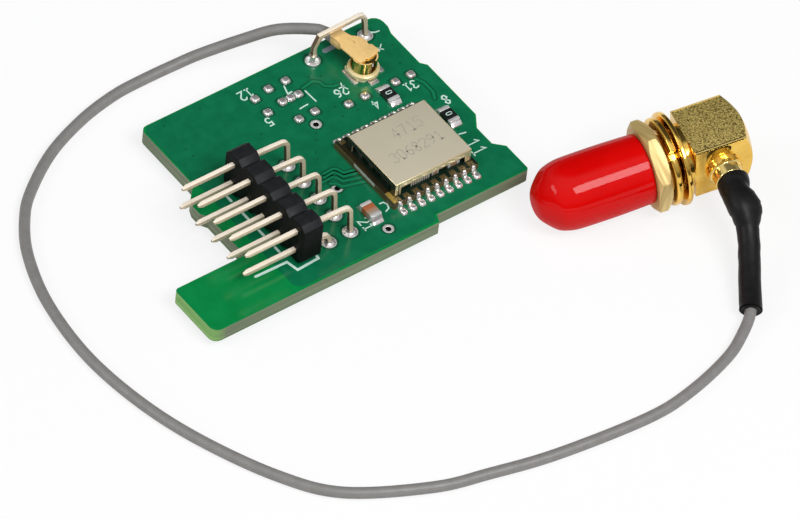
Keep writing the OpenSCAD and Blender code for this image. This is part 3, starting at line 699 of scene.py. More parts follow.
# Blue-grey tin: the bar's reflection is painted into its colour.
tin_painted_reflection = surface("tin_painted_reflection", srgb(156, 166, 172), srgb(140, 150, 156), (0.25, 0.35), 1500, metal=0.3)
solder_shine = surface("solder_shine", srgb(255, 252, 250), srgb(226, 218, 216), (0.08, 0.16), 2600,
                       metal=0.8, bump=0.012)
socket_cream = surface("socket_cream", srgb(226, 212, 168), srgb(236, 224, 186), (0.35, 0.45), 1800,
                       sheer=0.2)
plug_gold = surface("plug_gold", srgb(252, 214, 144), srgb(246, 204, 130), (0.36, 0.44), 2400, metal=0.2,
                    bump=0.003)
skirt_gold = surface("skirt_gold", srgb(220, 190, 108), srgb(206, 174, 92), (0.10, 0.14), 1200, metal=1.0)
pale_gold = surface("pale_gold", srgb(234, 218, 168), srgb(222, 204, 150), (0.25, 0.35), 1500, metal=0.3)
boss_gold = surface("boss_gold", srgb(252, 228, 150), srgb(244, 214, 128), (0.07, 0.12), 1200, metal=0.9)
# Pale, low-metal gold: painted highlight for the lips on the jack block's top.
lip_painted_highlight = surface("lip_painted_highlight", srgb(236, 208, 128), srgb(222, 190, 104), (0.25, 0.35), 2600, metal=0.3)
bright_gold = surface("bright_gold", srgb(250, 208, 104), srgb(238, 190, 84), (0.07, 0.14), 900, metal=1.0)
turned_gold = surface("turned_gold", srgb(250, 208, 104), srgb(232, 184, 84), (0.07, 0.14), 900, metal=1.0)
pad_gold = surface("pad_gold", srgb(150, 132, 92), srgb(118, 100, 64), (0.2, 0.3), 1600, metal=0.6)
lead_tin = surface("lead_tin", srgb(220, 216, 202), srgb(206, 200, 184), (0.25, 0.35), 1600, metal=0.2)
# Nearly black green: the module's dark mask, with painted shade from the can over it.
module_mask_and_shade = surface("module_mask_and_shade", srgb(12, 30, 21), srgb(16, 38, 26), (0.3, 0.45), 1800, specular=0.3)
chip_black = surface("chip_black", srgb(18, 18, 20), srgb(26, 26, 28), (0.3, 0.5), 2600, bump=0.004)
ceramic_tan = surface("ceramic_tan", srgb(158, 128, 100), srgb(140, 110, 84), (0.4, 0.5), 2600)
resistor_black = surface("resistor_black", srgb(24, 24, 26), srgb(32, 32, 34), (0.2, 0.3), 2600, coat=0.1)
cable_grey = surface("cable_grey", srgb(129, 127, 124), srgb(121, 119, 116), (0.42, 0.5), 900, bump=0.003)
shrink_black = surface("shrink_black", srgb(13, 13, 14), srgb(18, 18, 19), (0.4, 0.52), 1200, bump=0.01,
                       specular=0.2)
white_plastic = surface("white_plastic", srgb(240, 240, 236), srgb(230, 230, 226), (0.3, 0.4), 900)
cap_red = surface("cap_red", srgb(198, 3, 2), srgb(204, 6, 4), (0.3, 0.4), 300, coat=0.35, specular=0.0)
silk_white = surface("silk_white", srgb(206, 232, 222), srgb(190, 222, 210), (0.45, 0.6), 2600)
print("plain finishes:", len(bpy.data.materials))

# %% Finish by facing


def finish_by_facing(obj, other_material, choices):
    """Each face gets the first (direction, limit, material) that it looks along, or else the other one."""
    obj.data.materials.clear()
    obj.data.materials.append(other_material)
    for direction, limit, material in choices:
        obj.data.materials.append(material)
    for polygon in obj.data.polygons:
        found = [i for i, (direction, limit, material) in enumerate(choices)
                 if polygon.normal.dot(direction) > limit]
        polygon.material_index = found[0] + 1 if found else 0


up, leftward = Vector((0, 0, 1)), Vector((-1, 0, 0))
print("facing helper ready")

# %% [markdown]
# ## The coax lead
# The lead is one fixed length of 1.13 mm coax. It leaves the plug's crimp under the hoop, drops off the
# board's edge, lies round the board in one open loop and rises into the jack. The photograph shows it from
# end to end. A curve with a round bevel is the simplest true cable: its line is the centreline, and its
# length can be read from it.

# %% Cable
cable_curve = bpy.data.curves.new("coax_lead", "CURVE")
cable_curve.dimensions = "3D"
cable_curve.bevel_depth = cable_d / 2 * MM
cable_curve.bevel_resolution = 5
cable_curve.use_fill_caps = True
spline = cable_curve.splines.new("POLY")
spline.points.add(len(cable_line) - 1)
for point, place in zip(spline.points, cable_line):
    point.co = (*(place * MM), 1)
spline.use_smooth = True
cable = bpy.data.objects.new("coax_lead", cable_curve)
scene.collection.objects.link(cable)
finish_piece(cable, "board", cable_grey, ["coax_cable"])
print("cable points:", len(cable_line))

# %% [markdown]
# The black sleeve was shrunk over the ferrule and the cable, so it is wide on the ferrule, has one lump
# where the ferrule's end stands out on one side, and then hugs the cable. It is swept along the cable, and
# three tables give its radius, its shift to one side and its lump by the distance from the jack. Its free
# end has a small rolled lip.

# %% Heat-shrink sleeve
# Each row is (distance from the sleeve's jack end, value)
sleeve_radii = [(0, 1.60), (0.4, 1.58), (1.2, 1.42), (3.0, 1.39), (4.4, 1.22), (5.5, 1.10), (6.6, 1.08),
                (14.3, 1.12)]
sleeve_shifts = [(0, 0.16), (1.25, -0.18), (2.5, -0.30), (3.3, -0.32), (4.4, 0.03), (5.2, 0.30), (6.0, 0.38),
                 (7.0, 0.32), (8.3, 0.10), (11, -0.03), (13, -0.08), (14.3, 0)]
sleeve_lumps = [(0, 0), (1.5, 0), (2.5, 0.36), (3.4, 0.62), (4.1, 0.64), (4.6, 0.42), (5.2, 0.04), (6, 0),
                (14.3, 0)]
sideways = (jack_frame.to_3x3() @ Vector((1, 0, 0))).normalized()


def value_at(table, at):
    """The value at a place in a table of (place, value), eased between its rows."""
    for (a, low), (b, high) in zip(table, table[1:]):
        if at <= b:
            t = max(0.0, (at - a) / (b - a))
            return low + (high - low) * t * t * (3 - 2 * t)
    return table[-1][1]


on_cable = smooth_line(route, sleeve_first, len(route) - 2, 0.35)
on_ferrule = [exit_point(ferrule_l - s * (ferrule_l - sleeve_gap) / 12) for s in range(13)]
sleeve_line = on_cable[:-1] + on_ferrule
from_jack = [line_length(sleeve_line[i:]) for i in range(len(sleeve_line))]
sleeve_line = [p + sideways * value_at(sleeve_shifts, d) for p, d in zip(sleeve_line, from_jack)]
outer_r = [value_at(sleeve_radii, d) + 0.02 * noise.noise(Vector((d, 3.1, 0.4))) for d in from_jack]
rim = 0.12
first_ahead = (sleeve_line[1] - sleeve_line[0]).normalized()
last_ahead = (sleeve_line[-1] - sleeve_line[-2]).normalized()
tube_line = [sleeve_line[0] + first_ahead * 0.5, sleeve_line[0], sleeve_line[0] + first_ahead * rim]
tube_r = [cable_d / 2 + 0.15, outer_r[0] - 0.1, outer_r[0] + 0.03]
tube_line += sleeve_line[1:-1]
tube_r += outer_r[1:-1]
tube_line += [sleeve_line[-1] - last_ahead * 0.08, sleeve_line[-1], sleeve_line[-1] - last_ahead * 0.4]
tube_r += [outer_r[-1], outer_r[-1] - 0.1, 1.32]
tube_rows = rings_along(tube_line, tube_r, 40)
for centre, row in zip(tube_line, tube_rows):
    lump = value_at(sleeve_lumps, (centre - sleeve_line[-1]).length)
    for point in row:
        point += sideways * lump * max(0.0, (point - centre).normalized().dot(sideways)) ** 2
sleeve = skinned("shrink_sleeve", tube_rows)
finish_piece(sleeve, "board", shrink_black, ["heat_sleeve"])
print("sleeve rings:", len(tube_line))

# %% [markdown]
# ## The board
# The board is green glass-fibre laminate with solder mask over copper. Three greens show: bright where no
# copper lies under the mask, deeper over the copper pour, and nearly black in the narrow clearances round
# each pad and beside each trace, which is painted shade of the pour's step. The cut edge shows the bare
# laminate with its fibres. The pour and the traces are real relief, a few hundredths of a millimetre high,
# because the gloss of the mask shows every step.

# %% Laminate edge


def laminate_finish():
    """Fibre lines along the cut edge, fresh green at the tongue's end and dull everywhere else."""
    fibre_scale = 1700
    fibre_along = (0.03, 0.03, 1.0)
    material = surface("laminate", srgb(140, 186, 98), srgb(112, 164, 82), (0.45, 0.6), fibre_scale,
                       effect=streaks, along=fibre_along, bump=0.008)
    tree = material.node_tree
    shader = tree.nodes["Principled BSDF"]
    fresh = shader.inputs["Base Color"].links[0].from_socket
    dull = tree.nodes.new("ShaderNodeGroup")
    dull.node_tree = streaks
    dull.inputs["Colour"].default_value = srgb(114, 126, 96)
    dull.inputs["Other Colour"].default_value = srgb(92, 104, 76)
    dull.inputs["Scale"].default_value = fibre_scale
    dull.inputs["Along"].default_value = fibre_along
    share = share_along(tree, "X", tongue_x, tongue_x + 1.5)
    tree.links.new(colour_between(tree, share, fresh, dull.outputs["Colour"]), shader.inputs["Base Color"])
    return material


def dress(node, material):
    """A node whose form is right stays, with its finish."""
    slots = nodes[node].data.materials
    slots.clear()
    slots.append(material)


dress("pcb_core", laminate_finish())
dress("mask_top", mask_bare)
dress("mask_bottom", mask_bare)
print("board faces dressed")

# %% Copper pour under the mask
relief = 0.03
pour_z = top_z + relief
inset = 0.14
ring_clear = 0.25
tongue_end_x = module_low.x + 2.8
pour_outline = [(left_x + 0.4, core_low.y + 1.0), (left_x + 1.0, core_low.y + 0.3),
                (tongue_end_x - 0.15, core_low.y + 0.3), (tongue_end_x + 0.15, near_y + inset),
                (right_x - 0.3, near_y + inset), (right_x - inset, near_y + 0.3),
                (right_x - inset, near_y + 3.5), (right_x - 1 - inset, near_y + 4.5),
                (right_x - 1 - inset, near_y + 7.1), (right_x - inset, near_y + 8.6),
                (right_x - inset, far_y - 8.1), (right_x - 0.5 - inset, far_y - 7.5),
                (right_x - 0.5 - inset, far_y - 2.7), (right_x - 0.2 - inset, far_y - 1.8),
                (right_x - 0.2 - inset, far_y - 1.1), (right_x - 0.64, far_y - 0.44),
                (right_x - 1.3, far_y - inset), (left_x + 0.8, far_y - inset), (left_x + inset, far_y - 0.8),
                (left_x + inset, far_y - 8.4), (left_x + 0.4, far_y - 9.6)]


def islands(node):
    """The separate solids of a node, from left to right, as (lowest, highest corner) in millimetres."""
    form = bmesh.new()
    form.from_mesh(nodes[node].data)
    bmesh.ops.remove_doubles(form, verts=form.verts, dist=1e-6)
    waiting = set(form.verts)
    found = []
    while waiting:
        edge_of_search = [waiting.pop()]
        members = []
        while edge_of_search:
            vert = edge_of_search.pop()
            members.append(vert.co / MM)
            for edge in vert.link_edges:
                other = edge.other_vert(vert)
                if other in waiting:
                    waiting.remove(other)
                    edge_of_search.append(other)
        found.append((Vector([min(p[k] for p in members) for k in range(3)]),
                      Vector([max(p[k] for p in members) for k in range(3)])))
    form.free()
    return sorted(found, key=lambda pair: (round(pair[0].x, 2), round(pair[0].y, 2)))


def middle(pair):
    return (pair[0] + pair[1]) / 2


def rounded_square(x, y, half, power=4.0, count=32):
    points = []
    for k in range(count):
        a = 2 * math.pi * k / count
        c, s = math.cos(a), math.sin(a)
        reach = half / (abs(c) ** power + abs(s) ** power) ** (1 / power)
        points.append((x + reach * c, y + reach * s))
    return points


dome_places = [middle(pair) for pair in islands("pad_solder")]
wide_clearances = []
for places, hole, clear in ((pin_holes + hoop_holes, hole_d, ring_clear), (open_holes, open_hole_d, 0.18)):
    ring_r = hole / 2 + ring_w
    wide_clearances += [(ring_loop(x, y, ring_r + clear), ring_loop(x, y, ring_r)) for x, y in places]
pad_clearances = [rounded_square(p.x, p.y, 0.66) for p in dome_places]
pour = plate("copper_pour", [pour_outline] + [outer for outer, inner in wide_clearances] + pad_clearances,
             top_z, pour_z)
finish_piece(pour, "board", mask_over_copper)
# The clearance rings are painted nearly black, as painted shade of the pour's step.
moat_z = top_z + 0.006
moat_loops = [[outer, inner] for outer, inner in wide_clearances] + [[outline] for outline in pad_clearances]
moats = joined("pad_clearances", [plate("moat", loops, top_z, moat_z) for loops in moat_loops])
finish_piece(moats, "board", mask_painted_shade)
under_pour = plate("under_pour", [pour_outline] + [outer for outer, inner in wide_clearances],
                   under_z - relief, under_z)
finish_piece(under_pour, "board", mask_over_copper)
print("clearances in the pour:", len(wide_clearances) + len(pad_clearances))

# %% Flat strips for traces and print


def strip(line, width, low, high):
    """One flat strip along a line of (x, y), with round ends, as points and faces."""
    points = [Vector(p) for p in line]
    half = width / 2
    lefts, rights = [], []
    for i, p in enumerate(points):
        before = (p - points[i - 1]).normalized() if i else (points[1] - p).normalized()
        after = (points[i + 1] - p).normalized() if i < len(points) - 1 else before
        mean = (before + after).normalized()
        across = Vector((-mean.y, mean.x)) * half / max(0.5, mean.dot(after))
        lefts.append(p + across)
        rights.append(p - across)
    count = len(points)
    flat = lefts + rights
    polygons = [(i + 1, i, i + count, i + 1 + count) for i in range(count - 1)]
    rim = list(range(count))
    for end, inner, here, there in ((points[-1], points[-2], count - 1, 2 * count - 1),
                                    (points[0], points[1], count, 0)):
        ahead = (end - inner).normalized()
        side = Vector((-ahead.y, ahead.x))
        arc = [len(flat) + s for s in range(3)]
        angles = [math.pi * s / 4 for s in (1, 2, 3)]
        flat += [end + half * (math.cos(a) * side + math.sin(a) * ahead) for a in angles]
        polygons.append((here, *arc, there))
        rim += arc
        if here == count - 1:
            rim += list(range(2 * count - 1, count - 1, -1))
    size = len(flat)
    verts = [(p.x, p.y, low) for p in flat] + [(p.x, p.y, high) for p in flat]
    faces = [tuple(i + size for i in polygon) for polygon in polygons]
    faces += [tuple(reversed(polygon)) for polygon in polygons]
    faces += [(a, b, b + size, a + size) for a, b in zip(rim, rim[1:] + rim[:1])]
    return verts, faces


def strips(name, lines, low, high):
    """Many flat strips as one piece. Each is (line, width)."""
    obj = new_mesh_object(name, *merged(strip(line, width, low, high) for line, width in lines))
    mend_faces(obj.data)
    return obj


trace_w = 0.26
trace_lines = [
    [(1.85, -1.65), (3.0, -1.58), (3.33, -1.88), (3.57, -2.56), (4.7, -2.81)],
    [(1.53, -2.1), (2.75, -1.95), (3.02, -2.23), (3.28, -2.95), (4.7, -3.3)],
    [(0.95, -2.5), (2.28, -2.42), (2.64, -2.73), (2.85, -3.4), (4.7, -3.95)],
    [(1.6, -3.0), (2.15, -3.3), (2.42, -3.95), (4.7, -4.6)],
    [(6.85, 8.54), (8.19, 8.79), (8.72, 8.36), (8.83, 7.69), (9.52, 7.15), (10.09, 7.1)],
    [(16.9, 0.6), (17.3, 1.4), (17.3, 2.9), (16.9, 3.7)],
]
# Dark bands beside each trace: painted shade of the trace's edge.
moat_strips = strips("trace_clearances", [(line, trace_w + 0.36) for line in trace_lines], top_z,
                     pour_z + 0.003)
finish_piece(moat_strips, "board", mask_painted_shade)
# The traces' lighter green is a painted highlight on their ridges.
traces = strips("traces", [(line, trace_w) for line in trace_lines], top_z, pour_z + 0.012)
finish_piece(traces, "board", mask_trace_highlit)
print("traces:", len(trace_lines))

# %% Vias under the mask
via_places = [(17.67, 8.55), (16.9, 6.21), (16.41, 2.51), (17.91, -0.12), (16.44, -3.78), (8.23, 9.46),
              (8.06, 4.88), (4.43, 3.02), (7.95, 3.48), (9.74, 3.42), (2.94, 1.04), (9.27, 8.9),
              (-7.42, 11.64), (-7.38, 6.98), (-0.1, 5.8), (3.98, 2.33), (2.48, 0.23), (1.58, -5.76),
              (-7.41, 8.07), (-3.19, 11.63)]
via_r = 0.24
via_dip_r = 0.12
via_rims = joined("via_rims", [plate("rim", [ring_loop(x, y, via_r, 20), ring_loop(x, y, via_dip_r, 20)],
                                     top_z, pour_z + 0.01) for x, y in via_places])
finish_piece(via_rims, "board", mask_over_copper)
# Each via's middle is a flat dark disc, a painted shade of its dimple.
via_dip_shades = joined("via_dip_shades", [plate("dip", [ring_loop(x, y, via_dip_r, 16)], top_z, pour_z + 0.004)
                               for x, y in via_places])
finish_piece(via_dip_shades, "board", mask_painted_shade)
print("vias:", len(via_places))

# %% [markdown]
# The plated holes are eyelets: a ring of tinned copper on each face, joined by a thin tube through the
# board. Each is turned from one closed profile, round the pins and at the three open holes. The rings are
# bright tin, and the walls inside the holes are painted dark, as painted shade.

# %% Plated holes


def upright(x, y, z=0.0):
    """A frame whose X axis points up at that place."""
    return Matrix.Translation((x, y, z)) @ Matrix.Rotation(math.radians(-90), 4, "Y")


def eyelet(x, y, hole, rim_w):
    r = hole / 2
    rim_r = r + rim_w
    wall = 0.035
    low, high = under_z - 0.012, top_z + 0.012
    profile = [(low, r - wall + 0.02), (low, rim_r - 0.02), (low + 0.014, rim_r), (low + 0.06, rim_r),
               (low + 0.06, r), (high - 0.06, r), (high - 0.06, rim_r), (high - 0.014, rim_r),
               (high, rim_r - 0.02), (high, r + 0.02), (high - 0.04, r - wall), (low + 0.04, r - wall)]
    return turned("eyelet", profile, upright(x, y), sides=40)


eyelets = joined("plated_holes", [eyelet(x, y, hole_d, ring_w) for x, y in pin_holes + hoop_holes]
                 + [eyelet(x, y, open_hole_d, ring_w - 0.05) for x, y in open_holes])
finish_piece(eyelets, "board", None, ["hole_rings"])
# Ring faces are tin, and the inner walls get the painted shade.
finish_by_facing(eyelets, hole_painted_shade, [(up, 0.5, tin), (-up, 0.5, tin)])
print("plated holes:", len(pin_holes) + len(hoop_holes) + len(open_holes))

# %% [markdown]
# The white print is a thin ink. The outline of the header, a few marks and plain numbers are drawn as flat
# strips, most of them 0.15 mm wide.

# %% Print
ink_z = pour_z + 0.014
ink_w = 0.15
silk_lines = [
    [(-11.55, -8.92), (-7.92, -9.01), (-7.64, -10.36), (-5.09, -10.21), (-5.04, -9.79)],
    [(-7.75, 0.85), (-7.75, 0.21)], [(-7.75, -1.62), (-7.75, -2.5)], [(-7.75, -4.29), (-7.75, -5.09)],
    [(-7.75, -6.88), (-7.75, -7.54)],
    [(16.93, 11.04), (17.3, 10.8), (17.72, 10.75)],
    [(16.03, -4.43), (16.76, -4.59)],
    [(6.86, 8.12), (6.94, 6.47)], [(5.03, 6.48), (6.01, 6.56)],
    [(4.1, -7.67), (4.5, -7.7), (4.68, -8.1), (4.5, -8.6), (4.03, -8.79)],
]
fine_lines = [
    [(16.13, 9.02), (16.61, 8.52)], [(16.81, 9.2), (16.09, 8.54)],
    [(10.4, 7.11), (10.25, 6.7), (10.52, 6.12)],
]
digit_strokes = {
    "0": [[(0.5, 0), (1.5, 0), (2, 0.8), (2, 3.2), (1.5, 4), (0.5, 4), (0, 3.2), (0, 0.8), (0.5, 0)]],
    "1": [[(0.3, 3.2), (1.1, 4), (1.1, 0)], [(0.3, 0), (1.9, 0)]],
    "2": [[(0, 3.3), (0.5, 4), (1.5, 4), (2, 3.3), (2, 2.6), (0, 0), (2, 0)]],
    "3": [[(0, 3.5), (0.6, 4), (1.4, 4), (2, 3.2), (1.3, 2.1), (2, 1.0), (1.4, 0), (0.6, 0), (0, 0.5)]],
    "4": [[(1.5, 0), (1.5, 4), (0, 1.2), (2, 1.2)]],
    "5": [[(1.9, 4), (0.2, 4), (0.1, 2.3), (1.3, 2.5), (2, 1.8), (2, 0.8), (1.4, 0), (0.5, 0), (0, 0.5)]],
    "6": [[(1.8, 3.8), (0.9, 3.6), (0, 1.8), (0, 0.8), (0.6, 0), (1.4, 0), (2, 0.8), (2, 1.5), (1.4, 2.2),
           (0.1, 1.9)]],
    "7": [[(0, 4), (2, 4), (0.8, 0)]],
    "8": [[(1, 2.1), (0.1, 3), (0.6, 4), (1.4, 4), (1.9, 3), (1, 2.1), (0, 1), (0.6, 0), (1.4, 0), (2, 1),
           (1, 2.1)]],
    "9": [[(1.9, 2.2), (0.6, 1.9), (0, 2.7), (0.6, 4), (1.4, 4), (2, 3.2), (2, 2.2), (1.2, 0.4), (0.4, 0.1)]],
}


def number_lines(text, x, y, turn_deg, height, stroke=ink_w):
    """Strokes of a plain number, centred at x, y. turn_deg is the direction in which it is read."""
    unit = height / 4
    step = 3.0 * unit
    width = step * (len(text) - 1) + 2 * unit
    turn = math.radians(turn_deg)
    centre = Vector((x, y))
    ahead, up = Vector((math.cos(turn), math.sin(turn))), Vector((-math.sin(turn), math.cos(turn)))
    lines = []
    for i, digit in enumerate(text):
        for stroke_points in digit_strokes[digit]:
            line = [centre + ahead * (i * step + px * unit - width / 2) + up * (py * unit - height / 2)
                    for px, py in stroke_points]
            lines.append(([tuple(p) for p in line], stroke))
    return lines


numbers = [
    ("12", 1.70, 10.80, 180, 1.1), ("7", 5.45, 9.22, 180, 1.0), ("26", 9.74, 6.13, 180, 1.0),
    ("4", 11.61, 3.0, 180, 1.0), ("31", 15.97, 3.2, 180, 1.0), ("8", 17.74, -0.08, 180, 1.1),
    ("11", 16.42, -6.63, -90, 1.5), ("21", 1.44, -9.1, -90, 1.1), ("5", 1.48, 6.66, 180, 1.0),
]
ink = [(line, 0.28) for line in silk_lines[:5]] + [(line, ink_w) for line in silk_lines[5:]]
ink += [(line, 0.12) for line in fine_lines]
for number in numbers:
    ink += number_lines(*number)
silk = strips("print", ink, top_z, ink_z)
finish_piece(silk, "board", silk_white)
# The bare bar's blue-grey is a painted reflection on tin.
bare_bar = strips("bare_bar", [([(11.63, 11.4), (13.3, 11.42)], 0.55)], top_z, ink_z)
finish_piece(bare_bar, "board", tin_painted_reflection)
print("strokes of ink:", len(ink))

# %% [markdown]
# ## Solder
# Molten solder pulls itself into domes and skirts, and it shines. A dome here is a set of rings over a
# rounded footprint, whose height falls away towards the rim. Two domes side by side make the two-lobed
# joints of the module.

# %% Domes and joints


def dome(x, y, half_x, half_y, height, base_z, squareness=2.6, crown=2.0, lean=(0.0, 0.0), seed=0):
    """Points and faces of one dome of solder, closed below. lean moves its top sideways."""
    rings, sides = 7, 24
    verts, faces = [], []
    for k in range(1, rings + 1):
        share = k / rings
        fall = max(0.0, 1 - share ** crown) ** (1 / crown)
        for s in range(sides):
            a = 2 * math.pi * s / sides
            c, sn = math.cos(a), math.sin(a)
            reach = share / (abs(c) ** squareness + abs(sn) ** squareness) ** (1 / squareness)
            ripple = 1 + 0.05 * noise.noise(Vector((c * 1.7 + seed * 3.1, sn * 1.7, share)))
            verts.append((x + half_x * reach * c * ripple + lean[0] * fall, y + half_y * reach * sn * ripple
                          + lean[1] * fall, base_z + height * fall))
    verts.append((x + lean[0], y + lean[1], base_z + height))
    top = len(verts) - 1
    for s in range(sides):
        t = (s + 1) % sides
        faces.append((top, s, t))
        for k in range(rings - 1):
            a, b = k * sides + s, k * sides + t
            faces.append((a, a + sides, b + sides, b))
    faces.append(tuple((rings - 1) * sides + s for s in reversed(range(sides))))
    return verts, faces


def domes(name, each):
    """Many domes as one piece. Each is the values that dome takes, by name."""
    obj = new_mesh_object(name, *merged(dome(**given) for given in each))
    set_smooth(obj.data, 60)
    return obj


pads = [dict(x=p.x, y=p.y, half_x=0.45, half_y=0.45, height=0.3, base_z=top_z, squareness=3.6, crown=2.4,
             seed=i) for i, p in enumerate(dome_places)]
finish_piece(domes("pad_domes", pads), "board", solder_shine, ["pad_solder"])
joint_beads = []
for i, pair in enumerate(islands("module_solder")):
    centre = middle(pair)
    outward = -1 if centre.y < module_low.y + 1 else 1
    wall_y = module_low.y if outward < 0 else module_high.y
    foot_at, foot_half = (0.62, 0.50) if outward < 0 else (0.42, 0.32)
    joint_beads.append(dict(x=centre.x, y=wall_y + outward * 0.06, half_x=0.30, half_y=0.32, height=0.94,
                            base_z=top_z, squareness=2.2, crown=2.4, seed=i, lean=(0, -outward * 0.03)))
    joint_beads.append(dict(x=centre.x, y=wall_y + outward * foot_at, half_x=0.36, half_y=foot_half,
                            height=0.30, base_z=top_z, squareness=4.4, crown=2.6, seed=i + 40,
                            lean=(0, -outward * 0.05)))
finish_piece(domes("module_joints", joint_beads), "board", solder_shine, ["module_solder"])
print("domes:", len(pads), "module joints:", len(joint_beads) // 2)

# %% [markdown]
# Below the board each pin and each hoop leg has a cone of solder that climbs the square wire. On the upper
# face it is only a low skirt on the plated ring, except at the hoop's left leg, where it stands high. These
# are turned from a hollow curve.

# %% Cones of solder round the wires


def cone(x, y, foot_z, way, height, foot_r, top_r=0.46):
    """A skirt of solder that climbs a wire. way is 1 upwards and -1 downwards."""
    steps = 8
    profile = []
    for s in range(steps + 1):
        t = s / steps
        profile.append((foot_z + way * height * t, top_r + (foot_r - top_r) * (1 - t) ** 2.4))
    profile += [(foot_z + way * height, 0.1), (foot_z, 0.1)]
    return turned("cone", profile, upright(x, y), sides=28)


tail_cones = [cone(x, y, under_z, -1, 0.72, 0.76) for x, y in pin_holes]
finish_piece(joined("tail_cones", tail_cones), "board", solder_shine, ["header_solder"])
hoop_cones = [cone(x, y, under_z, -1, 0.72, 0.76) for x, y in hoop_holes]
hoop_cones.append(cone(*hoop_holes[0], top_z, 1, 0.8, 0.74, 0.42))
finish_piece(joined("hoop_cones", hoop_cones), "board", solder_shine, ["hoop_solder"])
feet = [cone(x, y, top_z, 1, 0.32, 0.72, 0.3) for x, y in pin_holes + hoop_holes[1:]]
cone_count = len(tail_cones) + len(hoop_cones) + len(feet)
finish_piece(joined("upper_feet", feet), "board", solder_shine)
left_foot = Vector(hoop_holes[0])
lobes = [dict(x=left_foot.x + dx, y=left_foot.y + dy, half_x=0.30, half_y=0.30, height=0.62, base_z=top_z,
              seed=70 + k) for k, (dx, dy) in enumerate(((-0.42, 0.14), (0.14, -0.42)))]
# The lobes' near white is a painted glint.
finish_piece(domes("foot_lobes", lobes), "board", solder_painted_glint)
print("cones:", cone_count)

# %% [markdown]
# ## Pin header and hoop
# The header's black body is five moulded blocks with bevelled corners, and the pins are square wire with a
# pale gold plating, drawn to a point at the tip. The hoop is the same square wire, bent over the plug.
# Their forms come straight from the imported model, and the copy only rounds the edges. Light and shade
# are painted by facing: the header's top is a lighter black than its sides, and the wires' upper faces are
# painted light and their left and lower faces painted shade.

# %% Header, pins and hoop
header = softened("header_body", 0.07, 2)
finish_piece(header, "board", None, ["header_body"])
# Upper faces get the painted lit black, and the rest get the painted shade.
finish_by_facing(header, header_side_painted_shade, [(up, 0.6, header_top_painted_lit)])
for node in ("upper_pins", "lower_pins", "cable_hoop"):
    wire = softened(node, 0.04, 2)
    finish_piece(wire, "board", None, [node])
    # Upper faces get the painted light, and left and lower faces get the painted shade.
    finish_by_facing(wire, pin_side, [(up, 0.55, pin_top_painted_lit), (leftward, 0.8, pin_painted_shade), (-up, 0.8, pin_painted_shade)])
print("header faces:", len(header.data.polygons))

# %% [markdown]
# ## Antenna socket and its plug
# The socket is a cream moulding with tinned pads. The plug is folded from thin gold plated sheet: a round
# skirt in three leaves, a flat top with a shoulder, and a crimp under the hoop. It is joined into one
# piece, and its faces get their material by their place: pale low down on the socket's rim, deep gold on
# the skirt and warm on top.

# %% Socket
base = softened("socket_base", 0.1, 3)
finish_piece(base, "board", socket_cream, ["socket_base"])
finish_piece(softened("socket_solder", 0.08, 2), "board", solder_shine, ["socket_solder"])
dress("socket_contacts", bright_gold)
dress("plug_insulator", white_plastic)
print("socket dressed")

# %% Plug


def leaf(radius, wall, low, high, from_deg, to_deg):
    """A curved leaf of sheet that stands on the board, as part of a round skirt."""
    steps = 14
    rows = []
    for s in range(steps + 1):
        a = math.radians(from_deg + (to_deg - from_deg) * s / steps)
        c, sn = math.cos(a), math.sin(a)
        lip = 0.05
        rows.append([Vector((r * c, r * sn, z)) for r, z in (
            (radius - wall, low), (radius, low), (radius + lip, low + 0.12), (radius + lip, low + 0.3),
            (radius, low + 0.45), (radius, high), (radius - wall, high))])
    return skinned("leaf", rows)


plug_top_z = top_z + 2.5
sheet = 0.2
under_top = plug_top_z - sheet
top_outline = [(-1.23, -0.46), (-0.55, -0.62), (-0.38, -0.40), (-0.1, -0.66), (0.5, -0.70), (1.45, -0.55),
               (1.48, 0.45), (1.24, 0.72), (1.45, 1.1), (1.42, 1.8), (1.2, 2.15), (0.82, 2.6), (0.72, 3.1),
               (0.72, 4.0), (-0.72, 4.0), (-0.72, 3.1), (-0.8, 2.6), (-1.1, 2.2), (-1.16, 1.1), (-1.21, 0.71)]
slit = [(0.36, 1.6), (0.44, 1.6), (0.5, 2.1), (0.42, 2.1)]
top_plate = bevelled(plate("top_plate", [top_outline, slit], under_top, plug_top_z), 0.05)
skirt_low = socket_high.z + 0.05
leaves = [leaf(1.31, 0.14, skirt_low, under_top, a, b) for a, b in ((-78, 18), (32, 148), (162, 258))]
crimp_half = 0.74
crimp = bevelled(plate("crimp", [rectangle(-crimp_half, 2.6, crimp_half, crimp_l)], cable_axis_z - 0.15,
                       under_top), 0.22, 3)
skirt_top = plate("skirt_top", [ring_loop(0, 0, 1.29, 48)], under_top - 0.08, under_top - 0.01)
cheeks = [bevelled(plate("cheek", [rectangle(low_x, 0.95, high_x, 2.8)], plug_top_z - 0.65, under_top), 0.05)
          for low_x, high_x in ((-0.75, -0.55), (0.55, 0.75))]
ring_profile = [(0.45, 1.22), (0.45, 1.62), (0.72, 1.60), (0.85, 1.44), (0.85, 1.22)]
rim_ring = turned("socket_rim", [(top_z + a, r) for a, r in ring_profile], upright(0, 0), sides=64)
plug = joined("coax_plug", [top_plate, crimp, *cheeks, skirt_top, *leaves, rim_ring])
for material in (plug_gold, skirt_gold, pale_gold):
    plug.data.materials.append(material)
for polygon in plug.data.polygons:
    centre = polygon.center / MM
    if centre.z < top_z + 0.86:
        polygon.material_index = 2
    elif centre.z < under_top - 0.005 and math.hypot(centre.x, centre.y) < 1.4:
        polygon.material_index = 1
plug.data.transform(Matrix.Translation(plug_frame.translation * MM) @ Matrix.Rotation(plug_turn, 4, "Z"))
finish_piece(plug, "board", None, ["plug_shell"])
print("plug faces:", len(plug.data.polygons))

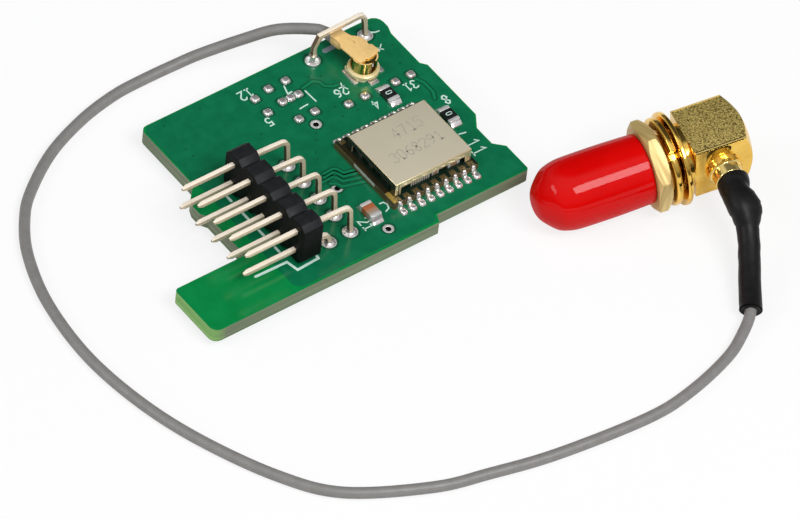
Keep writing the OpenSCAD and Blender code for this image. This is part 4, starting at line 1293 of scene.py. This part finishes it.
# %% [markdown]
# ## Receiver module
# The module is a board of its own, with half holes along two edges, gold pads round them, a shield can with
# long slots in its walls, and a chip and small parts inside. The can's lid is matt nickel silver, and its
# folded walls are bright, so the two get different finishes by the way that a face looks. Its left wall and
# a thin strip on its near wall get a painted dark shade. The module's top is its dark mask with painted
# shade under the can.

# %% Module board and can
can_matt = surface("can_matt", srgb(196, 188, 165), srgb(190, 182, 159), (0.45, 0.55), 260, metal=0.15,
                   bump=0.003)
# Painted shade: the can's left wall, and the thin strip on its near wall.
can_painted_shade = surface("can_painted_shade", srgb(40, 46, 38), srgb(28, 34, 27), (0.2, 0.3), 900, specular=0.3)
can_bright = surface("can_bright", srgb(232, 216, 176), srgb(224, 207, 166), (0.22, 0.28), 900, metal=0.6)
module_edge = surface("module_edge", srgb(96, 82, 40), srgb(58, 48, 24), (0.3, 0.5), 1500, effect=streaks,
                      along=(0.05, 0.05, 1.0), bump=0.01)
module_board = softened("module_board", 0.03, 1)
finish_piece(module_board, "board", None, ["module_board"])
# Upper faces get the dark mask with its painted shade.
finish_by_facing(module_board, module_edge, [(up, 0.8, module_mask_and_shade)])
strip_from_y, strip_to_y = -5.9, -2.6
left_strip = plate("left_strip", [rectangle(module_low.x - 0.012, strip_from_y, module_low.x + 0.02,
                                            strip_to_y)], module_high.z - 0.42, module_high.z - 0.06)
finish_piece(left_strip, "board", tin)
finish_piece(softened("module_contacts", 0.012, 1), "board", pad_gold, ["module_contacts"])
can = softened("shield_can", 0.09, 3)
finish_piece(can, "board", None, ["shield_can"])
finish_by_facing(can, can_bright, [(up, 0.985, can_matt), (leftward, 0.9, can_painted_shade)])
# A thin dark strip on the near wall near its left corner: painted shade of a narrow gap.
slit_x = can_low.x + 0.34
slit_w = 0.1
can_slit_shade = plate("can_slit_shade", [rectangle(slit_x, can_low.y - 0.006, slit_x + slit_w, can_low.y + 0.02)],
                 can_low.z + 0.05, can_high.z - 0.12)
finish_piece(can_slit_shade, "board", can_painted_shade)
lid_print = surface("lid_print", srgb(164, 159, 142), srgb(172, 167, 150), (0.5, 0.6), 1500)
lid_strokes = number_lines("4715", (can_low.x + can_high.x) / 2 + 0.9, can_high.y - 2.1, 2, 1.25, 0.16)
lid_strokes += number_lines("3068291", (can_low.x + can_high.x) / 2 + 0.2, can_low.y + 3.1, 2, 1.2, 0.16)
lid_numbers = strips("lid_numbers", lid_strokes, can_high.z - 0.02, can_high.z + 0.003)
finish_piece(lid_numbers, "board", lid_print)
print("can faces:", len(can.data.polygons))

# %% Ledge of the module and the parts under the can
ledge_z = module_high.z
ledge_finishes = (
    ("dark_ledge", module_low.y + 1.65, module_high.y - 0.6,
     surface("ledge_brown", srgb(54, 45, 25), srgb(30, 27, 16), (0.3, 0.45), 900, metal=0.3)),
    ("gold_ledge", module_low.y + 0.12, module_low.y + 1.65,
     surface("ledge_gold", srgb(196, 166, 78), srgb(150, 124, 56), (0.25, 0.4), 900, metal=0.4)),
)
for name, from_y, to_y, finish in ledge_finishes:
    ledge = plate(name, [rectangle(module_low.x + 0.04, from_y, can_low.x - 0.02, to_y)], ledge_z,
                  ledge_z + 0.025)
    finish_piece(ledge, "board", finish)
finish_piece(softened("receiver_chip", 0.06, 2), "board", chip_black, ["receiver_chip"])
finish_piece(softened("chip_leads", 0.03, 1), "board", lead_tin, ["chip_leads"])
print("chip dressed")

# %% Small chips with end caps


def small_box(low, high, edge):
    """A box with soft edges, from corner to corner."""
    return bevelled(plate("box", [rectangle(low.x, low.y, high.x, high.y)], low.z, high.z), edge)


bodies, ends = [], []
for low, high in islands("module_parts"):
    span = high - low
    axis = 0 if span.x >= span.y else 1
    cap_share = 0.22
    inner_low, inner_high = low.copy(), high.copy()
    inner_low[axis] += span[axis] * cap_share
    inner_high[axis] -= span[axis] * cap_share
    inner_high.z -= 0.03
    bodies.append(small_box(inner_low, inner_high, 0.04))
    for end in (0, 1):
        cap_low, cap_high = low.copy(), high.copy()
        if end:
            cap_low[axis] = high[axis] - span[axis] * cap_share
        else:
            cap_high[axis] = low[axis] + span[axis] * cap_share
        ends.append(small_box(cap_low, cap_high, 0.05))
small_ends = joined("small_part_ends", ends)
finish_piece(small_ends, "board", tin)
finish_piece(joined("small_parts", bodies), "board", ceramic_tan, ["module_parts"])
print("small parts:", len(bodies))

# %% [markdown]
# ## Chip resistors and capacitor
# Each is a small block with tinned ends on solder fillets. The resistors are black on top with a plain
# zero. The capacitor is bare ceramic, tan with an orange-brown middle.

# %% Chip parts


def capacitor_finish():
    """Tan ceramic that turns orange-brown towards the middle of its length."""
    low = box_mm("capacitor_body")[0]
    material = surface("capacitor_ceramic", srgb(176, 104, 62), srgb(164, 94, 56), (0.35, 0.45), 2600)
    tree = material.node_tree
    shader = tree.nodes["Principled BSDF"]
    inner = shader.inputs["Base Color"].links[0].from_socket
    outer = tree.nodes.new("ShaderNodeRGB")
    outer.outputs[0].default_value = srgb(150, 132, 112)
    share = share_along(tree, "Y", low.y + 0.2, low.y + 0.75, "SMOOTHSTEP")
    tree.links.new(colour_between(tree, share, outer.outputs[0], inner), shader.inputs["Base Color"])
    return material


finish_piece(softened("resistor_bodies", 0.06, 2), "board", resistor_black,
             ["resistor_bodies"])
finish_piece(softened("capacitor_body", 0.1, 3), "board", capacitor_finish(),
             ["capacitor_body"])
finish_piece(softened("chip_terminals", 0.08, 3), "board", tin, ["chip_terminals"])
finish_piece(softened("terminal_solder", 0.07, 3, angle=12), "board", solder_shine,
             ["terminal_solder"])
resistor_places = islands("resistor_bodies")
zero_strokes = []
for pair in resistor_places:
    centre = middle(pair)
    zero_strokes += number_lines("0", centre.x, centre.y, 90, 0.62, 0.09)
    zero_top = pair[1].z
zeros = strips("resistor_zeros", zero_strokes, zero_top - 0.05, zero_top + 0.012)
finish_piece(zeros, "board", silk_white)
print("resistors:", len(resistor_places))

# %% [markdown]
# ## Antenna jack
# The jack is turned and milled brass with a gold plating: a block with a cast, pitted top, a threaded
# barrel with a flange, a split lock washer and a hex nut. The turned parts are lathed here at full
# smoothness, with every rim rounded, and the washer is a bar that winds nearly once round, so its ends
# stand a little apart. The cable's exit has a stepped boss of its own, turned about the same line as the
# ferrule.

# %% Profiles with round corners


def rounded_profile(points, radius, steps=3):
    """Replaces each corner of a closed profile by an arc of that radius, or less where an edge is short."""
    result = []
    count = len(points)
    for i in range(count):
        p, here, n = Vector(points[i - 1]), Vector(points[i]), Vector(points[(i + 1) % count])
        before, after = p - here, n - here
        reach = min(radius, before.length * 0.45, after.length * 0.45)
        if reach < 1e-6 or here.y < 1e-6:
            result.append(tuple(here))
            continue
        a, b = here + before.normalized() * reach, here + after.normalized() * reach
        for s in range(steps + 1):
            t = s / steps
            result.append(tuple((1 - t) ** 2 * a + 2 * t * (1 - t) * here + t ** 2 * b))
    return result


block_x = 1.45
block_l = 6.0
flange_t, flange_d = 0.5, 9.4
thread_d, thread_h, thread_pitch = 6.2, 0.35, 0.7
barrel_l, bore_d, mouth_d, mouth_l = 9.6, 4.1, 4.7, 0.5
washer_t, washer_d = 1.2, 8.8
nut_t = 1.5
fastener_gap = 0.05
print("jack reaches from", -barrel_l, "to", block_x + block_l)

# %% Block
jack_up = (jack_frame.to_3x3() @ Vector((0, 0, 1))).normalized()
cast_gold = surface("cast_gold", srgb(236, 212, 124), srgb(92, 74, 28), (0.2, 0.4), 6500, effect=pits,
                    metal=0.5, bump=0.035)
block = softened("jack_block", 0.08, 3)
finish_piece(block, "board", None, ["jack_block"])
finish_by_facing(block, bright_gold, [(jack_up, 0.995, cast_gold)])
half = block_w / 2
back_x = block_x + block_l
jack_frame_m = Matrix.Translation(jack_at * MM) @ jack_frame.to_3x3().to_4x4()


def top_line(name, low_y, high_y, rise, material):
    """A thin line along the block's top face, from the neck to the chamfer."""
    line = plate(name, [rectangle(block_x + 0.1, low_y, back_x - 0.85, high_y)], half - 0.02, half + rise)
    line.data.transform(jack_frame_m)
    return finish_piece(line, "board", material)


# Flat strips on the block's top: the brown ones are painted shade of the groove and step, and the pale gold
# ones are painted highlights on the lips.
groove_painted_shade = surface("groove_painted_shade", srgb(70, 52, 20), srgb(52, 38, 14), (0.4, 0.5), 2600, metal=0.5)
lips = [top_line("near_shade_strip", -half + 0.02, -half + 0.13, 0.03, groove_painted_shade),
        top_line("near_lip_highlight", -half + 0.13, -half + 0.27, 0.04, lip_painted_highlight),
        top_line("near_groove_shade", -half + 0.27, -half + 0.38, 0.03, groove_painted_shade),
        top_line("far_lip_highlight", half - 0.04, half + 0.13, 0.03, lip_painted_highlight)]
print("block faces:", len(block.data.polygons))

# %% Barrel and flange
thread_r = thread_d / 2
profile = [(block_x, 3.2), (flange_t, 3.2), (flange_t, flange_d / 2), (0, flange_d / 2),
           (0, thread_r - thread_h)]
threads = math.floor((barrel_l - 1.4) / thread_pitch)
for i in range(threads):
    for along, rise in ((0, 0), (0.32, 1), (0.48, 1), (0.8, 0)):
        profile.append((-0.9 - (i + along) * thread_pitch, thread_r - thread_h * (1 - rise)))
profile += [(-barrel_l, thread_r - thread_h - 0.1), (-barrel_l, mouth_d / 2),
            (-barrel_l + mouth_l, mouth_d / 2), (-barrel_l + mouth_l, bore_d / 2), (block_x, bore_d / 2)]
barrel = turned("threaded_barrel", rounded_profile(profile, 0.16), jack_frame, sides=112)
finish_piece(barrel, "board", turned_gold, ["jack_barrel"])
dress("jack_insulator", white_plastic)
dress("jack_contact", bright_gold)
print("thread turns:", threads)

# %% Lock washer
inner_r = thread_r + fastener_gap + 0.04
washer_half = 0.33
section = rounded_profile([(-washer_half, inner_r), (washer_half, inner_r), (washer_half, washer_d / 2),
                           (-washer_half, washer_d / 2)], 0.22, 4)
gap_deg = 35.0
gap_half_deg = 5.5
steps = 110
rows = []
for s in range(steps + 1):
    share = s / steps
    turn = math.radians(gap_deg + gap_half_deg + (360 - 2 * gap_half_deg) * share)
    shift = -washer_t / 2 - fastener_gap + 0.10 * (2 * share - 1)
    rows.append([jack_frame @ Vector((along + shift, -r * math.sin(turn), r * math.cos(turn)))
                 for along, r in section])
washer = skinned("split_washer", rows)
finish_piece(washer, "board", turned_gold, ["lock_washer"])
print("washer rows:", len(rows))

# %% Nut
nut_brushed = surface("nut_brushed", srgb(222, 196, 128), srgb(176, 148, 84), (0.36, 0.46), 1500,
                      effect=streaks, metal=0.25, along=(1.0, 0.07, 0.07), bump=0.012)
nut = softened("hex_nut", 0.13, 3)
finish_piece(nut, "board", nut_brushed, ["hex_nut"])
print("nut faces:", len(nut.data.polygons))

# %% Ferrule
ferrule_profile = rounded_profile([(0, cable_d / 2 + 0.07), (0, 1.3), (2.1, 1.3), (2.4, 0.95),
                                   (ferrule_l, 0.95), (ferrule_l, cable_d / 2 + 0.07)], 0.12)
exit_place = Matrix.Translation((exit_x, -block_w / 2, 0))
ferrule_frame = jack_frame @ exit_place @ Matrix.Rotation(math.radians(-90), 4, "Z")
ferrule = turned("cable_ferrule", ferrule_profile, ferrule_frame, sides=56)
finish_piece(ferrule, "board", bright_gold, ["ferrule"])
boss_profile = rounded_profile([(0, 1.3), (0, 1.85), (0.75, 1.85), (0.75, 1.52), (1.9, 1.52), (1.9, 1.3)],
                               0.14)
boss = turned("exit_boss", boss_profile, ferrule_frame, sides=64)
finish_piece(boss, "board", boss_gold)
print("ferrule turned")

# %% [markdown]
# ## Cap
# The red cap is dip-moulded soft plastic, so it is glossy and its open rim is round. It covers the barrel
# and slides off along it, so it rides on its own body.

# %% Cap
cap_d, cap_l, cap_fit = 7.2, 11.4, 0.07
nut_front = -washer_t - nut_t - 2 * fastener_gap
open_x = nut_front - 0.02
tip_x = nut_front - 2 * fastener_gap - cap_l
bore_r = thread_r + cap_fit
bore_end = -barrel_l - 0.25
cap_r = cap_d / 2
outside = [(open_x - 0.16, cap_r - 0.1), (open_x - 2.4, cap_r - 0.03), (open_x - 4.5, cap_r),
           (bore_end, cap_r - 0.02)]
nose = [(3.4, 0.98), (2.6, 0.935), (1.8, 0.85), (1.0, 0.655), (0.35, 0.44), (0.08, 0.24), (0, 0)]
outside += [(tip_x + ahead, cap_r * share) for ahead, share in nose]
cap_profile = [(open_x - 0.14, bore_r), (open_x - 0.04, bore_r + 0.04), (open_x, bore_r + 0.12),
               (open_x, cap_r - 0.24), (open_x - 0.05, cap_r - 0.14)]
outside_line = smooth_line([Vector(p) for p in outside], 0, len(outside) - 1, 0.2)
cap_profile += [(p.x, max(0.0, p.y)) for p in outside_line]
cap_profile += [(bore_end + 0.6, 0.0), (bore_end + 0.6, bore_r - 0.4), (bore_end + 1.0, bore_r)]
cap = turned("red_cap", cap_profile, jack_frame, sides=112)
finish_piece(cap, "cap", cap_red, ["jack_cap"])
print("cap length:", round(open_x - tip_x, 2))

# %% [markdown]
# ## The cord's facts
# The lead's length along its centreline is printed.

print("lead in mm:", round(line_length(cable_line), 1))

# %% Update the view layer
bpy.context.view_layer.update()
